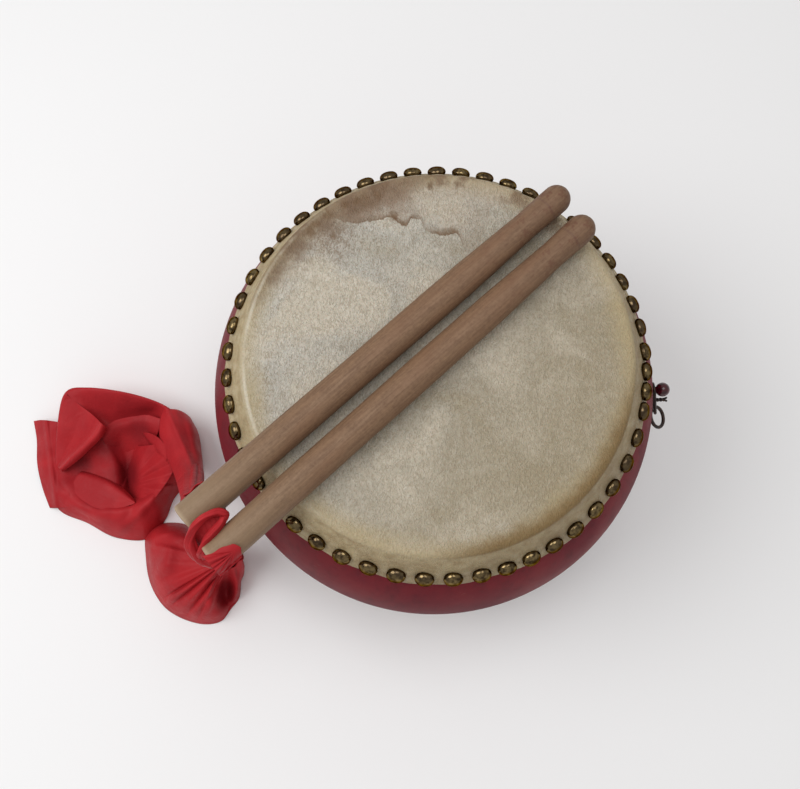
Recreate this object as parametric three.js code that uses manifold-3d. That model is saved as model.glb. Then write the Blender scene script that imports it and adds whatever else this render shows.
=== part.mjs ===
// A barrel drum carried at the waist, standing on its lower skin, with its two beaters laid
// across the upper skin. A red scarf hangs from the butt of each beater down to the table.
// Millimetres, +Z up, origin on the table at the middle of the lower skin, player's side at -Y.
import * as THREE from "three";
import { mergeVertices } from "three/addons/utils/BufferGeometryUtils.js";
import Module from "manifold-3d";

const wasm = await Module();
wasm.setup();

// Barrel
const drumHeight = 190;
const bellyRadius = 125;
const bevelFootRadius = 104.7;
const barrelFullness = 2.3;
const bevelHeight = 20;
const mouthRadius = 94.6;
const wallThickness = 11;

// Skins
const skinThickness = 1.6;
const skinEdgeRound = 1.6;
const hemBelowNail = 5.6;
const fitGap = 0.3;

// Nails
const nailRadius = 4.9;
const nailDomeHeight = 3.4;
const nailDrop = 18.6;
const firstNailAngle = 182.5;

// Beaters
const stickLength = 246;
const stickRadius = 8.0;
const stickNeckRadius = 6.9;
const stickNeckFromTip = 27;
const stickTipRadius = 7.4;
const stickTaperLength = 70;
const buttRounding = 1.4;
const skinClearance = 0.3;
const upperStickBack = 141.45;
const upperStickAside = 19.29;
const lowerStickBack = 143.29;
const lowerStickAside = -1.27;

// Strap fitting
const studHeight = 118;
const studAngle = -1.0;
const studBallRadius = 4.0;
const studNeckRadius = 1.7;
const studBallStandOff = 6.3;
const wireRadius = 0.8;
const loopSlack = 1.8;
const tailBelowNeck = 4.8;
const tailLength = 5.2;
const tailDip = 0.8;
const prongLength = 1.6;
const prongSpread = 1.7;
const ringWireRadius = 1.0;
const ringRadius = 6.0;
const ringLean = 51;
const ringHookAngle = 70;
const hookOut = 3.3;
const hookAside = -7.5;
const hookDrop = 12.9;

// Scarves
const roseSpan = 118;
const roseHeight = 33;
const roseFromBelly = 89;
const roseAngle = 187;
const fanSpan = 67;
const fanHeight = 30;
const fanFromBelly = 62;
const fanAngle = 213;
const scarfFoot = 0.4;
const strandWidthBelow = 14;
const strandWidthAbove = 6;
const cradleThickness = 2.4;
const cradleLength = 11;
const cradleFromButt = 12;
const cradleEndsBelowLevel = 8;

// Fineness of the facets
const barrelFacets = 60;
const stickFacets = 18;
const nailFacets = 8;
const bunchFacets = 24;
const strandFacets = 8;

const topOfShell = drumHeight - skinThickness - fitGap;
const degrees = Math.PI / 180;

const lacquer = new THREE.MeshStandardMaterial({ color: 0x8c2128, roughness: 0.35, metalness: 0 });
const hide = new THREE.MeshStandardMaterial({ color: 0xbeb6a8, roughness: 0.7, metalness: 0 });
const brass = new THREE.MeshStandardMaterial({ color: 0x6e5c34, roughness: 0.35, metalness: 0.9 });
const wood = new THREE.MeshStandardMaterial({ color: 0x87695a, roughness: 0.65, metalness: 0 });
const cloth = new THREE.MeshStandardMaterial({ color: 0xaa2328, roughness: 0.6, metalness: 0 });
const iron = new THREE.MeshStandardMaterial({ color: 0x2a2422, roughness: 0.5, metalness: 0.8 });
const knobPaint = new THREE.MeshStandardMaterial({ color: 0x6a1420, roughness: 0.2, metalness: 0 });

// Solid of revolution about +Z from a profile of [radius, height] pairs, anticlockwise
function turned(profile, facets) {
  const points = profile.map(([radius, height]) => new THREE.Vector2(radius, height));
  return new THREE.LatheGeometry(points, facets).rotateX(Math.PI / 2);
}

// Closed solid through a stack of rings with equally many points, capped at both ends
function lofted(rings) {
  const count = rings[0].length;
  const positions = [];
  const indices = [];
  for (const ring of rings) {
    for (const point of ring) {
      positions.push(point.x, point.y, point.z);
    }
  }
  for (let level = 0; level + 1 < rings.length; level++) {
    for (let i = 0; i < count; i++) {
      const a = level * count + i;
      const b = level * count + ((i + 1) % count);
      indices.push(a, b, b + count, a, b + count, a + count);
    }
  }
  for (const [ring, offset, faceUp] of [[rings[0], 0, false], [rings.at(-1), (rings.length - 1) * count, true]]) {
    const middle = new THREE.Vector3();
    ring.forEach((point) => middle.add(point));
    middle.divideScalar(count);
    const centre = positions.length / 3;
    positions.push(middle.x, middle.y, middle.z);
    for (let i = 0; i < count; i++) {
      const a = offset + i;
      const b = offset + ((i + 1) % count);
      indices.push(...(faceUp ? [centre, a, b] : [centre, b, a]));
    }
  }
  const geometry = new THREE.BufferGeometry();
  geometry.setAttribute("position", new THREE.Float32BufferAttribute(positions, 3));
  geometry.setIndex(indices);
  return geometry;
}

// Wire of round section along an open curve, closed by its end caps
function wire(points, radius, steps) {
  const section = new THREE.Shape();
  section.absarc(0, 0, radius, 0, 2 * Math.PI);
  return new THREE.ExtrudeGeometry(section, {
    extrudePath: new THREE.CatmullRomCurve3(points),
    steps,
    curveSegments: 4,
  });
}

function solidOf(geometry) {
  const bare = geometry.clone();
  bare.deleteAttribute("normal");
  bare.deleteAttribute("uv");
  const merged = mergeVertices(bare, 1e-4);
  return new wasm.Manifold(
    new wasm.Mesh({
      numProp: 3,
      vertProperties: merged.attributes.position.array,
      triVerts: new Uint32Array(merged.index.array),
    }),
  );
}

function joined(geometries) {
  const whole = geometries.map(solidOf).reduce((sum, solid) => sum.add(solid));
  const mesh = whole.getMesh();
  const geometry = new THREE.BufferGeometry();
  geometry.setAttribute("position", new THREE.BufferAttribute(mesh.vertProperties, 3));
  geometry.setIndex(new THREE.BufferAttribute(mesh.triVerts, 1));
  return geometry;
}

function named(name, geometry, material) {
  const mesh = new THREE.Mesh(geometry, material);
  mesh.name = name;
  return mesh;
}

// Outside radius of the wooden barrel at a height above the table
function barrelRadius(height) {
  const half = drumHeight / 2;
  const fromMiddle = Math.abs(height - half) / half;
  const bevelStart = 1 - bevelHeight / half;
  if (fromMiddle <= bevelStart) {
    return bellyRadius - (bellyRadius - bevelFootRadius) * (fromMiddle / bevelStart) ** barrelFullness;
  }
  const share = (fromMiddle - bevelStart) / (1 - bevelStart);
  return bevelFootRadius + (mouthRadius - bevelFootRadius) * share;
}

// Point at a distance out from the barrel's surface, as radius and height, with the way out
function offBarrel(height, distance) {
  const step = 0.25;
  const fall = (barrelRadius(height - step) - barrelRadius(height + step)) / (2 * step);
  const length = Math.hypot(1, fall);
  const outward = [1 / length, fall / length];
  return {
    radius: barrelRadius(height) + distance * outward[0],
    height: height + distance * outward[1],
    outward,
  };
}

// Hollow wooden barrel, open at both mouths under the skins
function drumShell() {
  const outerHeights = [0, 0.09, 0.2, 0.32, 0.5, 0.68, 0.8, 0.91, 1];
  const innerHeights = [1, 0.78, 0.5, 0.22, 0];
  const bottom = drumHeight - topOfShell;
  const span = topOfShell - bottom;
  const outer = outerHeights.map((share) => bottom + span * share);
  const inner = innerHeights.map((share) => bottom + span * share);
  const profile = [
    ...outer.map((height) => [barrelRadius(height), height]),
    ...inner.map((height) => [barrelRadius(height) - wallThickness, height]),
  ];
  profile.push(profile[0]);
  return turned(profile, barrelFacets);
}

// Corners of a face of the skin's band, at a distance off the wood, from its hem up to its edge
function bandFace(distance) {
  const hem = drumHeight - nailDrop - hemBelowNail;
  const heights = [hem, (hem + drumHeight - nailDrop) / 2, drumHeight - nailDrop, topOfShell];
  return heights.map((height) => offBarrel(height, distance));
}

// Hide skin: flat over the mouth, turned down over the bevel and ending just below the nails
function skin() {
  const inner = bandFace(fitGap);
  const outer = bandFace(fitGap + skinThickness);
  const mouth = barrelRadius(topOfShell);
  const profile = [
    [0, drumHeight - skinThickness],
    [mouth, drumHeight - skinThickness],
    ...inner.reverse().map((point) => [point.radius, point.height]),
    ...outer.map((point) => [point.radius, point.height]),
    [mouth + skinEdgeRound / 2, drumHeight - skinEdgeRound / 6],
    [mouth - skinEdgeRound / 2, drumHeight],
    [0, drumHeight],
  ];
  return turned(profile, barrelFacets);
}

// Domed brass head of a nail, its flat back at height zero
function nailHead() {
  const profile = [
    [0, 0],
    [nailRadius, 0],
    [nailRadius * 0.86, nailDomeHeight * 0.55],
    [nailRadius * 0.45, nailDomeHeight * 0.9],
    [0, nailDomeHeight],
  ];
  return turned(profile, nailFacets);
}

// Hand-set nails: how many steps in each stretch and how many degrees apart, clockwise
const nailStretches = [
  { steps: 6, apart: 7.5 },
  { steps: 11, apart: 6.98 },
  { steps: 3, apart: 7.5 },
  { steps: 5, apart: 7.0 },
  { steps: 3, apart: 5.63 },
  { steps: 5, apart: 7.58 },
  { steps: 4, apart: 6.93 },
  { steps: 13, apart: 7.554 },
];

function nailAngles() {
  const turn = nailStretches.reduce((sum, stretch) => sum + stretch.steps * stretch.apart, 0);
  const angles = [];
  let angle = firstNailAngle;
  for (const stretch of nailStretches) {
    for (let i = 0; i < stretch.steps; i++) {
      angles.push(angle);
      angle -= (stretch.apart * 360) / turn;
    }
  }
  return angles;
}

// Seat of a nail on the band: square to the line between the places under its lower and its upper
// edge, and clear of whatever of the band stands out beyond that line
function nailSeat() {
  const face = bandFace(fitGap + skinThickness);
  const middle = face[2].height;
  const place = (height) => {
    const above = Math.max(1, face.findIndex((corner) => corner.height >= height));
    const [low, high] = [face[above - 1], face[above]];
    const share = (height - low.height) / (high.height - low.height);
    return [THREE.MathUtils.lerp(low.radius, high.radius, share), height];
  };
  const [lower, upper] = [place(middle - nailRadius), place(middle + nailRadius)];
  const length = Math.hypot(upper[0] - lower[0], upper[1] - lower[1]);
  const outward = [(upper[1] - lower[1]) / length, (lower[0] - upper[0]) / length];
  const proud = face.map(
    (corner) => (corner.radius - lower[0]) * outward[0] + (corner.height - lower[1]) * outward[1],
  );
  const distance = Math.max(0, proud[1], proud[2]) + fitGap;
  return {
    radius: (lower[0] + upper[0]) / 2 + distance * outward[0],
    height: (lower[1] + upper[1]) / 2 + distance * outward[1],
    outward,
  };
}

// Puts something made along +Z onto a seat on the barrel's side, at an angle round the drum
function seatAt(object, angle, seat) {
  const across = new THREE.Vector3(Math.cos(angle * degrees), Math.sin(angle * degrees), 0);
  const outward = across.clone().multiplyScalar(seat.outward[0]).setZ(seat.outward[1]);
  object.position.copy(across.multiplyScalar(seat.radius)).setZ(seat.height);
  object.quaternion.setFromUnitVectors(new THREE.Vector3(0, 0, 1), outward);
}

// Turned beater along +X from its butt at the origin to its rounded tip
function beater() {
  const tipCentre = stickLength - stickTipRadius;
  const profile = [
    [0, 0],
    [stickRadius - buttRounding, 0],
    [stickRadius, buttRounding],
    [stickRadius, stickLength - stickTaperLength],
    [stickNeckRadius, stickLength - stickNeckFromTip],
    [stickTipRadius, tipCentre - stickTipRadius * 0.6],
  ];
  for (const angle of [0, 30, 58, 78]) {
    const reach = tipCentre + stickTipRadius * Math.sin(angle * degrees);
    profile.push([stickTipRadius * Math.cos(angle * degrees), reach]);
  }
  profile.push([0, stickLength]);
  return turned(profile, stickFacets).rotateY(Math.PI / 2);
}

// A beater's line on the plan: its heading in degrees from +X, how far it passes to the left of
// the drum's axis, and how far back along it from there the butt lies
function lay(name, heading, back, aside) {
  const [along, across] = [Math.cos(heading * degrees), Math.sin(heading * degrees)];
  return { name, heading, butt: [-back * along - aside * across, -back * across + aside * along] };
}

const layOfSticks = [
  lay("upper", 41.08, upperStickBack, upperStickAside),
  lay("lower", 41.61, lowerStickBack, lowerStickAside),
];
const stickAxisHeight = drumHeight + skinClearance + stickRadius;

// Open saddle that hugs the underside of a beater, along +X, with the stick's axis at height zero
function cradle() {
  const inside = stickRadius + fitGap;
  const outside = inside + cradleThickness;
  const from = (cradleEndsBelowLevel - 180) * degrees;
  const to = -cradleEndsBelowLevel * degrees;
  const shape = new THREE.Shape();
  shape.absarc(0, 0, outside, from, to);
  shape.absarc(0, 0, inside, to, from, true);
  const geometry = new THREE.ExtrudeGeometry(shape, {
    depth: cradleLength,
    bevelEnabled: false,
    curveSegments: 10,
  });
  return geometry.translate(0, 0, -cradleLength / 2).rotateX(Math.PI / 2).rotateZ(Math.PI / 2);
}

// Cradle turned and carried to its place under the butt of one beater
function cradleUnder(stick) {
  const middle = underButt(stick, 0);
  return cradle().rotateZ(stick.heading * degrees).translate(middle.x, middle.y, stickAxisHeight);
}

// Point on a beater's line at the cradle, a distance below its axis
function underButt(stick, below) {
  const along = cradleFromButt;
  return new THREE.Vector3(
    stick.butt[0] + along * Math.cos(stick.heading * degrees),
    stick.butt[1] + along * Math.sin(stick.heading * degrees),
    stickAxisHeight - below,
  );
}

// Place beside the barrel, a distance out from its belly, at an angle and a height
function besideBelly(out, angle, height) {
  const radius = bellyRadius + out;
  return new THREE.Vector3(radius * Math.cos(angle * degrees), radius * Math.sin(angle * degrees), height);
}

// Bunch of cloth on the table: an outline in shares of its span round its centre, anticlockwise,
// drawn in level by level to [share of the outline, share of the height]
function bunch(centre, span, height, corners, levels) {
  const curve = new THREE.CatmullRomCurve3(
    corners.map(([x, y]) => new THREE.Vector3(x * span, y * span, 0)),
    true,
    "catmullrom",
    0.5,
  );
  const outline = curve.getSpacedPoints(bunchFacets).slice(0, bunchFacets);
  const rings = levels.map(([share, rise]) =>
    outline.map((point) => point.clone().multiplyScalar(share).add(centre).setZ(scarfFoot + rise * height)),
  );
  return lofted(rings);
}

// Strand of gathered cloth from low in a bunch up to the cradle under a beater.
// Its route is [share of the bunch's span out from the belly, angle, share of the stick's height]
function strand(route, span, stick) {
  const knot = underButt(stick, stickRadius + cradleThickness / 2 + fitGap);
  const points = route.map(([out, angle, rise]) => besideBelly(out * span, angle, rise * stickAxisHeight));
  const curve = new THREE.CatmullRomCurve3([...points, knot]);
  const levels = 6;
  const rings = [];
  for (let level = 0; level <= levels; level++) {
    const share = level / levels;
    const width = THREE.MathUtils.lerp(strandWidthBelow, strandWidthAbove, share);
    const middle = curve.getPoint(share);
    const ring = [];
    for (let i = 0; i < strandFacets; i++) {
      const turn = (2 * Math.PI * i) / strandFacets;
      ring.push(new THREE.Vector3(width * Math.cos(turn), 0.7 * width * Math.sin(turn), 0).add(middle));
    }
    rings.push(ring);
  }
  return lofted(rings);
}

// Scarf of the upper beater: its bunch is like an open rose, a rolled rim of folds round a hollow
function upperScarf(stick) {
  const centre = besideBelly(roseFromBelly, roseAngle, 0);
  const corners = [
    [-0.49, 0.28], [-0.43, -0.05], [-0.37, -0.24], [-0.1, -0.36], [0.13, -0.41], [0.36, -0.22],
    [0.51, -0.07], [0.47, 0.22], [0.15, 0.39], [-0.21, 0.46], [-0.35, 0.41],
  ];
  const levels = [
    [0.92, 0], [1, 0.2], [0.97, 0.56], [0.86, 0.88], [0.72, 1], [0.52, 0.82], [0.3, 0.5], [0.12, 0.4],
  ];
  const route = [[0.37, 181, 0.1], [0.26, 189, 0.31], [0.16, 200, 0.62]];
  return joined([
    bunch(centre, roseSpan, roseHeight, corners, levels),
    strand(route, roseSpan, stick),
    cradleUnder(stick),
  ]);
}

// Scarf of the lower beater: its bunch is gathered at one side and spreads like a fan
function lowerScarf(stick) {
  const centre = besideBelly(fanFromBelly, fanAngle, 0);
  const corners = [
    [-0.46, 0.25], [-0.47, 0.02], [-0.26, -0.3], [-0.05, -0.44], [0.3, -0.38], [0.5, -0.18],
    [0.48, 0.15], [0.28, 0.34], [-0.13, 0.42],
  ];
  const levels = [[0.92, 0], [1, 0.2], [0.97, 0.5], [0.84, 0.82], [0.55, 1], [0.2, 0.97]];
  const route = [[0.58, 212, 0.07], [0.42, 214, 0.3], [0.22, 218, 0.63]];
  return joined([
    bunch(centre, fanSpan, fanHeight, corners, levels),
    strand(route, fanSpan, stick),
    cradleUnder(stick),
  ]);
}

// Iron wire loop round the stud's neck, twisted shut, with the strap ring hanging in it
function strapFitting() {
  const angle = studAngle * degrees;
  const foot = offBarrel(studHeight, wireRadius + 3 * fitGap);
  const neck = new THREE.Vector3(foot.radius * Math.cos(angle), foot.radius * Math.sin(angle), foot.height);
  const lean = ringLean * degrees;
  const ringAcross = new THREE.Vector3(Math.sin(lean), 0, -Math.cos(lean));
  const hook = neck.clone().add(new THREE.Vector3(hookOut, hookAside, -hookDrop));
  const hookAngle = ringHookAngle * degrees;
  const toCentre = ringAcross.clone().multiplyScalar(Math.cos(hookAngle)).setY(-Math.sin(hookAngle));
  const ringCentre = hook.clone().addScaledVector(toCentre, ringRadius);

  const ring = named("strap_ring", new THREE.TorusGeometry(ringRadius, ringWireRadius, 8, 24), iron);
  ring.position.copy(ringCentre);
  const facing = new THREE.Vector3().crossVectors(ringAcross, new THREE.Vector3(0, 1, 0)).normalize();
  ring.quaternion.setFromUnitVectors(new THREE.Vector3(0, 0, 1), facing);

  const down = hook.clone().sub(neck);
  const reach = down.length();
  down.normalize();
  const outward = new THREE.Vector3(Math.cos(angle), Math.sin(angle), 0);
  outward.addScaledVector(down, -outward.dot(down)).normalize();
  const side = new THREE.Vector3().crossVectors(outward, down);
  const loopRadius = ringWireRadius + wireRadius + loopSlack;
  const loopPoints = [];
  for (let i = 0; i < 12; i++) {
    const turn = ((i + 0.5) / 12) * 2 * Math.PI;
    const middle = neck.clone().addScaledVector(down, Math.sin(turn) > 0 ? reach : 0);
    middle.addScaledVector(down, loopRadius * Math.sin(turn));
    loopPoints.push(middle.addScaledVector(side, loopRadius * Math.cos(turn)));
  }
  const loopCurve = new THREE.CatmullRomCurve3(loopPoints, true, "catmullrom", 0.5);
  const loop = new THREE.TubeGeometry(loopCurve, 30, wireRadius, 6, true);

  const tailStart = neck.clone().addScaledVector(down, tailBelowNeck).addScaledVector(side, -loopRadius);
  const tailEnd = tailStart.clone().addScaledVector(outward, tailLength).addScaledVector(down, tailDip);
  const tail = wire([tailStart, tailStart.clone().lerp(tailEnd, 0.5), tailEnd], wireRadius * 1.25, 3);
  const prongs = [1, -1].map((way) => {
    const tip = tailEnd.clone().addScaledVector(outward, prongLength).addScaledVector(down, prongSpread * way);
    const start = tailEnd.clone().addScaledVector(outward, -wireRadius);
    return wire([start, start.clone().lerp(tip, 0.5), tip], wireRadius * 0.8, 2);
  });
  const eye = named("strap_eye", joined([loop, tail, ...prongs]), iron);

  const ballProfile = [[0, 0], [studNeckRadius, 0]];
  for (const tilt of [-64, -35, 0, 35, 64]) {
    const radius = studBallRadius * Math.cos(tilt * degrees);
    ballProfile.push([radius, studBallStandOff + studBallRadius * Math.sin(tilt * degrees)]);
  }
  ballProfile.push([0, studBallStandOff + studBallRadius]);
  const stud = named("strap_stud", turned(ballProfile, 12), knobPaint);
  seatAt(stud, studAngle, offBarrel(studHeight, fitGap));
  return [stud, eye, ring];
}

const drum = new THREE.Group();
drum.add(named("drum_shell", drumShell(), lacquer));

const headTop = named("head_top", skin(), hide);
const headBottom = named("head_bottom", skin(), hide);
headBottom.rotation.x = Math.PI;
headBottom.position.z = drumHeight;
drum.add(headTop, headBottom);

nailAngles().forEach((angle, i) => {
  const nail = named("nail_top_" + String(i + 1).padStart(2, "0"), nailHead(), brass);
  seatAt(nail, angle, nailSeat());
  drum.add(nail);
});

for (const stick of layOfSticks) {
  const mesh = named("stick_" + stick.name, beater(), wood);
  mesh.position.set(stick.butt[0], stick.butt[1], stickAxisHeight);
  mesh.rotation.z = stick.heading * degrees;
  drum.add(mesh);
}

const [upperStick, lowerStick] = layOfSticks;
drum.add(named("scarf_upper", upperScarf(upperStick), cloth));
drum.add(named("scarf_lower", lowerScarf(lowerStick), cloth));
drum.add(...strapFitting());

export default drum;
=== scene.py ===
# A barrel drum for the waist, standing on its lower skin, with two beaters laid across the upper one
# and a red scarf at each butt. Metres, +Z up, the player's side at -Y.
import math

import bpy
import numpy as np
from mathutils import Matrix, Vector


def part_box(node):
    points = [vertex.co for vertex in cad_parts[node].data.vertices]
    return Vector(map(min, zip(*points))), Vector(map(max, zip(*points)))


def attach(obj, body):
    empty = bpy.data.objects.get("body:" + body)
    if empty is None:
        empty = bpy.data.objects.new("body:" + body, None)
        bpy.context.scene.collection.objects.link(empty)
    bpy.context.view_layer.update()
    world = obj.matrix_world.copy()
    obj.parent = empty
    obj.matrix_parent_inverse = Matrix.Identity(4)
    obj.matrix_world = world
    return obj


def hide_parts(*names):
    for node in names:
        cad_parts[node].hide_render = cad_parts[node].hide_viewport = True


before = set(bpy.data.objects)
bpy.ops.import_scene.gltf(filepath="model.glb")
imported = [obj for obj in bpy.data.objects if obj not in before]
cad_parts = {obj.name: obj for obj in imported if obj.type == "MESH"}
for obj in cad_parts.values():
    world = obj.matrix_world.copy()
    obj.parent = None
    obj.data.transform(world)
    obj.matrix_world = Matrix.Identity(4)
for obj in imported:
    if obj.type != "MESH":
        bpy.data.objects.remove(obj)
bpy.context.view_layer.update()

# The camera looks almost straight down from over the near left side of the drum, at the
# photograph's angle. A pixel of the 800 by 789 picture and a height give a place on the object.
PICTURE_WIDTH = 800
PICTURE_MIDDLE = np.array([400.0, 394.5])
FOCAL_PIXELS = 900.0
SENSOR_WIDTH = 36.0
CAMERA_TILT = math.radians(12.16)
CAMERA_ROLL = math.radians(-0.81)
CAMERA_ASIDE = (0.01849, 0.01818)
CAMERA_DISTANCE = 0.44154
DRUM_HEIGHT = 0.190

view_back = np.array([0.0, -math.sin(CAMERA_TILT), math.cos(CAMERA_TILT)])
level_right = np.array([1.0, 0.0, 0.0])
level_up = np.array([0.0, math.cos(CAMERA_TILT), math.sin(CAMERA_TILT)])
view_right = math.cos(CAMERA_ROLL) * level_right + math.sin(CAMERA_ROLL) * level_up
view_up = -math.sin(CAMERA_ROLL) * level_right + math.cos(CAMERA_ROLL) * level_up
eye = (np.array([0.0, 0.0, DRUM_HEIGHT]) - CAMERA_ASIDE[0] * view_right - CAMERA_ASIDE[1] * view_up
       + CAMERA_DISTANCE * view_back)


def from_photo(spots):
    """Places, in metres, seen at [pixel across, pixel down, height in mm]: each pixel's line of
    sight is followed from the eye down to its height."""
    spots = np.asarray(spots, float)
    aside = (spots[..., 0] - PICTURE_MIDDLE[0]) / FOCAL_PIXELS
    above = (PICTURE_MIDDLE[1] - spots[..., 1]) / FOCAL_PIXELS
    sight = aside[..., None] * view_right + above[..., None] * view_up - view_back
    reach = (spots[..., 2] / 1000 - eye[2]) / sight[..., 2]
    return eye + reach[..., None] * sight


camera_data = bpy.data.cameras.new("camera")
camera_data.sensor_width = SENSOR_WIDTH
camera_data.lens = SENSOR_WIDTH * FOCAL_PIXELS / PICTURE_WIDTH
camera_data.clip_start = 0.01
camera = bpy.data.objects.new("camera", camera_data)
bpy.context.scene.collection.objects.link(camera)
turn = Matrix([list(row) for row in np.column_stack([view_right, view_up, view_back])])
camera.matrix_world = Matrix.Translation(eye.tolist()) @ turn.to_4x4()
bpy.context.scene.camera = camera

# The floor is a plain pale table top. Soft light comes from all round, with a broad lamp at the left
# and a weaker one above, so the skin is brightest at its left and shadows fall softly to the right.
FLOOR_SPAN = 30.0
FLOOR_SUNK = 0.0002
FLOOR_COLOUR = (0.88, 0.88, 0.885, 1)
SKY_COLOUR = (1, 0.99, 0.98, 1)
SKY_STRENGTH = 0.52
LAMP_SPAN = 0.9
LAMPS_AIM = np.array([0, 0, 0.1])
LAMPS = [("lamp_left", (-0.78, 0.0, 1.10), 7.4), ("lamp_above", (0.18, 0.10, 1.6), 5.6)]


def mesh_piece(name, corners, faces, material, smooth=True):
    """One mesh object from an array of corners and an array or list of faces, at the origin."""
    mesh = bpy.data.meshes.new(name)
    mesh.from_pydata(np.asarray(corners).reshape(-1, 3).tolist(), [], [[*face] for face in faces])
    mesh.polygons.foreach_set("use_smooth", np.full(len(mesh.polygons), smooth))
    mesh.materials.append(material)
    mesh.update()
    piece = bpy.data.objects.new(name, mesh)
    bpy.context.scene.collection.objects.link(piece)
    return piece


def finish_named(name, metallic=0.0, **sockets):
    """A new material, a function that adds a node and sets or links its inputs, and one that links
    a value to the shader."""
    material = bpy.data.materials.new(name)
    material.use_nodes = True
    tree = material.node_tree
    shader = tree.nodes["Principled BSDF"]
    shader.inputs["Metallic"].default_value = metallic
    for socket, value in sockets.items():
        shader.inputs[socket.replace("_", " ")].default_value = value

    def add(kind, inputs=None, **settings):
        node = tree.nodes.new("ShaderNode" + kind)
        for setting, value in settings.items():
            setattr(node, setting, value)
        for socket, value in (inputs or {}).items():
            if isinstance(value, bpy.types.NodeSocket):
                tree.links.new(value, node.inputs[socket])
            else:
                node.inputs[socket].default_value = value
        return node

    def put(socket, value):
        tree.links.new(value, shader.inputs[socket])

    return material, add, put


table_top, add, put = finish_named("table_top", Base_Color=FLOOR_COLOUR, Roughness=0.85)
floor_corners = FLOOR_SPAN / 2 * np.array([[-1, -1, 0], [1, -1, 0], [1, 1, 0], [-1, 1, 0]])
floor_corners[:, 2] = -FLOOR_SUNK
floor = mesh_piece("table", floor_corners, [[0, 1, 2, 3]], table_top, smooth=False)

sky = bpy.data.worlds.new("studio")
sky.use_nodes = True
background = sky.node_tree.nodes["Background"]
background.inputs["Color"].default_value = SKY_COLOUR
background.inputs["Strength"].default_value = SKY_STRENGTH
bpy.context.scene.world = sky
for lamp_name, lamp_place, lamp_power in LAMPS:
    lamp_data = bpy.data.lights.new(lamp_name, "AREA")
    lamp_data.shape = "DISK"
    lamp_data.size = LAMP_SPAN
    lamp_data.energy = lamp_power
    lamp = bpy.data.objects.new(lamp_name, lamp_data)
    bpy.context.scene.collection.objects.link(lamp)
    aim = LAMPS_AIM - np.array(lamp_place)
    lamp.location = lamp_place
    lamp.rotation_euler = (math.atan2(math.hypot(aim[0], aim[1]), -aim[2]), 0,
                           math.atan2(aim[1], aim[0]) - math.pi / 2)
bpy.context.scene.view_settings.view_transform = "Standard"

# The barrel is hollow wood under dark red gloss lacquer, bulging from a bevel at each mouth. It
# is turned true, open at both ends under the skins, and scuffed a little in scattered places.
BELLY_RADIUS = 0.125
BEVEL_FOOT_RADIUS = 0.1047
BARREL_FULLNESS = 2.3
BEVEL_HEIGHT = 0.020
MOUTH_RADIUS = 0.0946
WALL_THICKNESS = 0.011
SKIN_THICKNESS = 0.0016
FIT_GAP = 0.0003
LACQUER_RED = (0.175, 0.008, 0.013)
LACQUER_DARKER = (0.126, 0.008, 0.016)
LACQUER_DEEP = (0.05, 0.005, 0.009)
LACQUER_SCUFFED = (0.22, 0.07, 0.055)
BARREL_COLUMNS = 256


def barrel_radius(height):
    """Outside radius of the wood: the belly less a power of the distance from mid-height down to
    the bevel's foot, then a straight slope in to the mouth."""
    half = DRUM_HEIGHT / 2
    away = np.abs(np.asarray(height) - half) / half
    bevel = 1 - BEVEL_HEIGHT / half
    inward = (np.minimum(away, bevel) / bevel) ** BARREL_FULLNESS
    bulge = BELLY_RADIUS - (BELLY_RADIUS - BEVEL_FOOT_RADIUS) * inward
    slope = BEVEL_FOOT_RADIUS + (MOUTH_RADIUS - BEVEL_FOOT_RADIUS) * (away - bevel) / (1 - bevel)
    return np.where(away <= bevel, bulge, slope)


def ring_faces(rows, columns, closed_rows=False):
    """Quads of a grid whose columns close on themselves, and whose rows close too if asked."""
    row = np.arange(rows if closed_rows else rows - 1)[:, None]
    column = np.arange(columns)[None, :]
    here, there = row * columns, (row + 1) % rows * columns
    after = (column + 1) % columns
    return np.stack([here + column, here + after, there + after, there + column], -1).reshape(-1, 4)


def round_angles(columns):
    """Angles of evenly spaced columns round a full turn."""
    return 2 * np.pi * np.arange(columns) / columns


def spun(radii, heights, columns):
    """Corners of a profile of radii and heights carried round the drum's axis."""
    around = round_angles(columns)
    across = np.asarray(radii, float)[..., None]
    level = np.broadcast_to(np.asarray(heights, float)[..., None], (len(across), columns))
    return np.stack([across * np.cos(around), across * np.sin(around), level], -1)


def window(add, value, low, high, to_low=0.0, to_high=1.0):
    """A value that rises smoothly from to_low at low to to_high at high."""
    return add("MapRange", {"Value": value, "From Min": low, "From Max": high, "To Min": to_low,
                            "To Max": to_high}, interpolation_type="SMOOTHSTEP").outputs["Result"]


def mixed(add, share, first, second):
    """Two colours mixed by a share from 0 to 1, each an output or a plain red, green and blue."""
    first, second = ((*colour, 1) if isinstance(colour, tuple) else colour for colour in (first, second))
    return add("Mix", {0: share, 6: first, 7: second}, data_type="RGBA").outputs[2]


def speckle(add, where, scale, detail=3.0, roughness=0.5, distortion=0.0):
    """Soft noise from 0 to 1 at a scale in bumps a metre."""
    return add("TexNoise", {"Vector": where, "Scale": scale, "Detail": detail, "Roughness": roughness,
                            "Distortion": distortion}).outputs["Fac"]


def times(add, first, second):
    """Two values multiplied."""
    return add("Math", {0: first, 1: second}, operation="MULTIPLY").outputs[0]


def plus(add, first, second):
    """Two values added."""
    return add("Math", {0: first, 1: second}, operation="ADD").outputs[0]


def less(add, first, second):
    """The second value taken from the first."""
    return add("Math", {0: first, 1: second}, operation="SUBTRACT").outputs[0]


def unsigned(add, value):
    """A value without its sign."""
    return add("Math", {0: value}, operation="ABSOLUTE").outputs[0]


def drawn_out(add, where, scale):
    """Places with each axis multiplied by its scale, so that a pattern is long where that is small."""
    return add("Mapping", {"Vector": where, "Scale": scale}).outputs[0]


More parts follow.
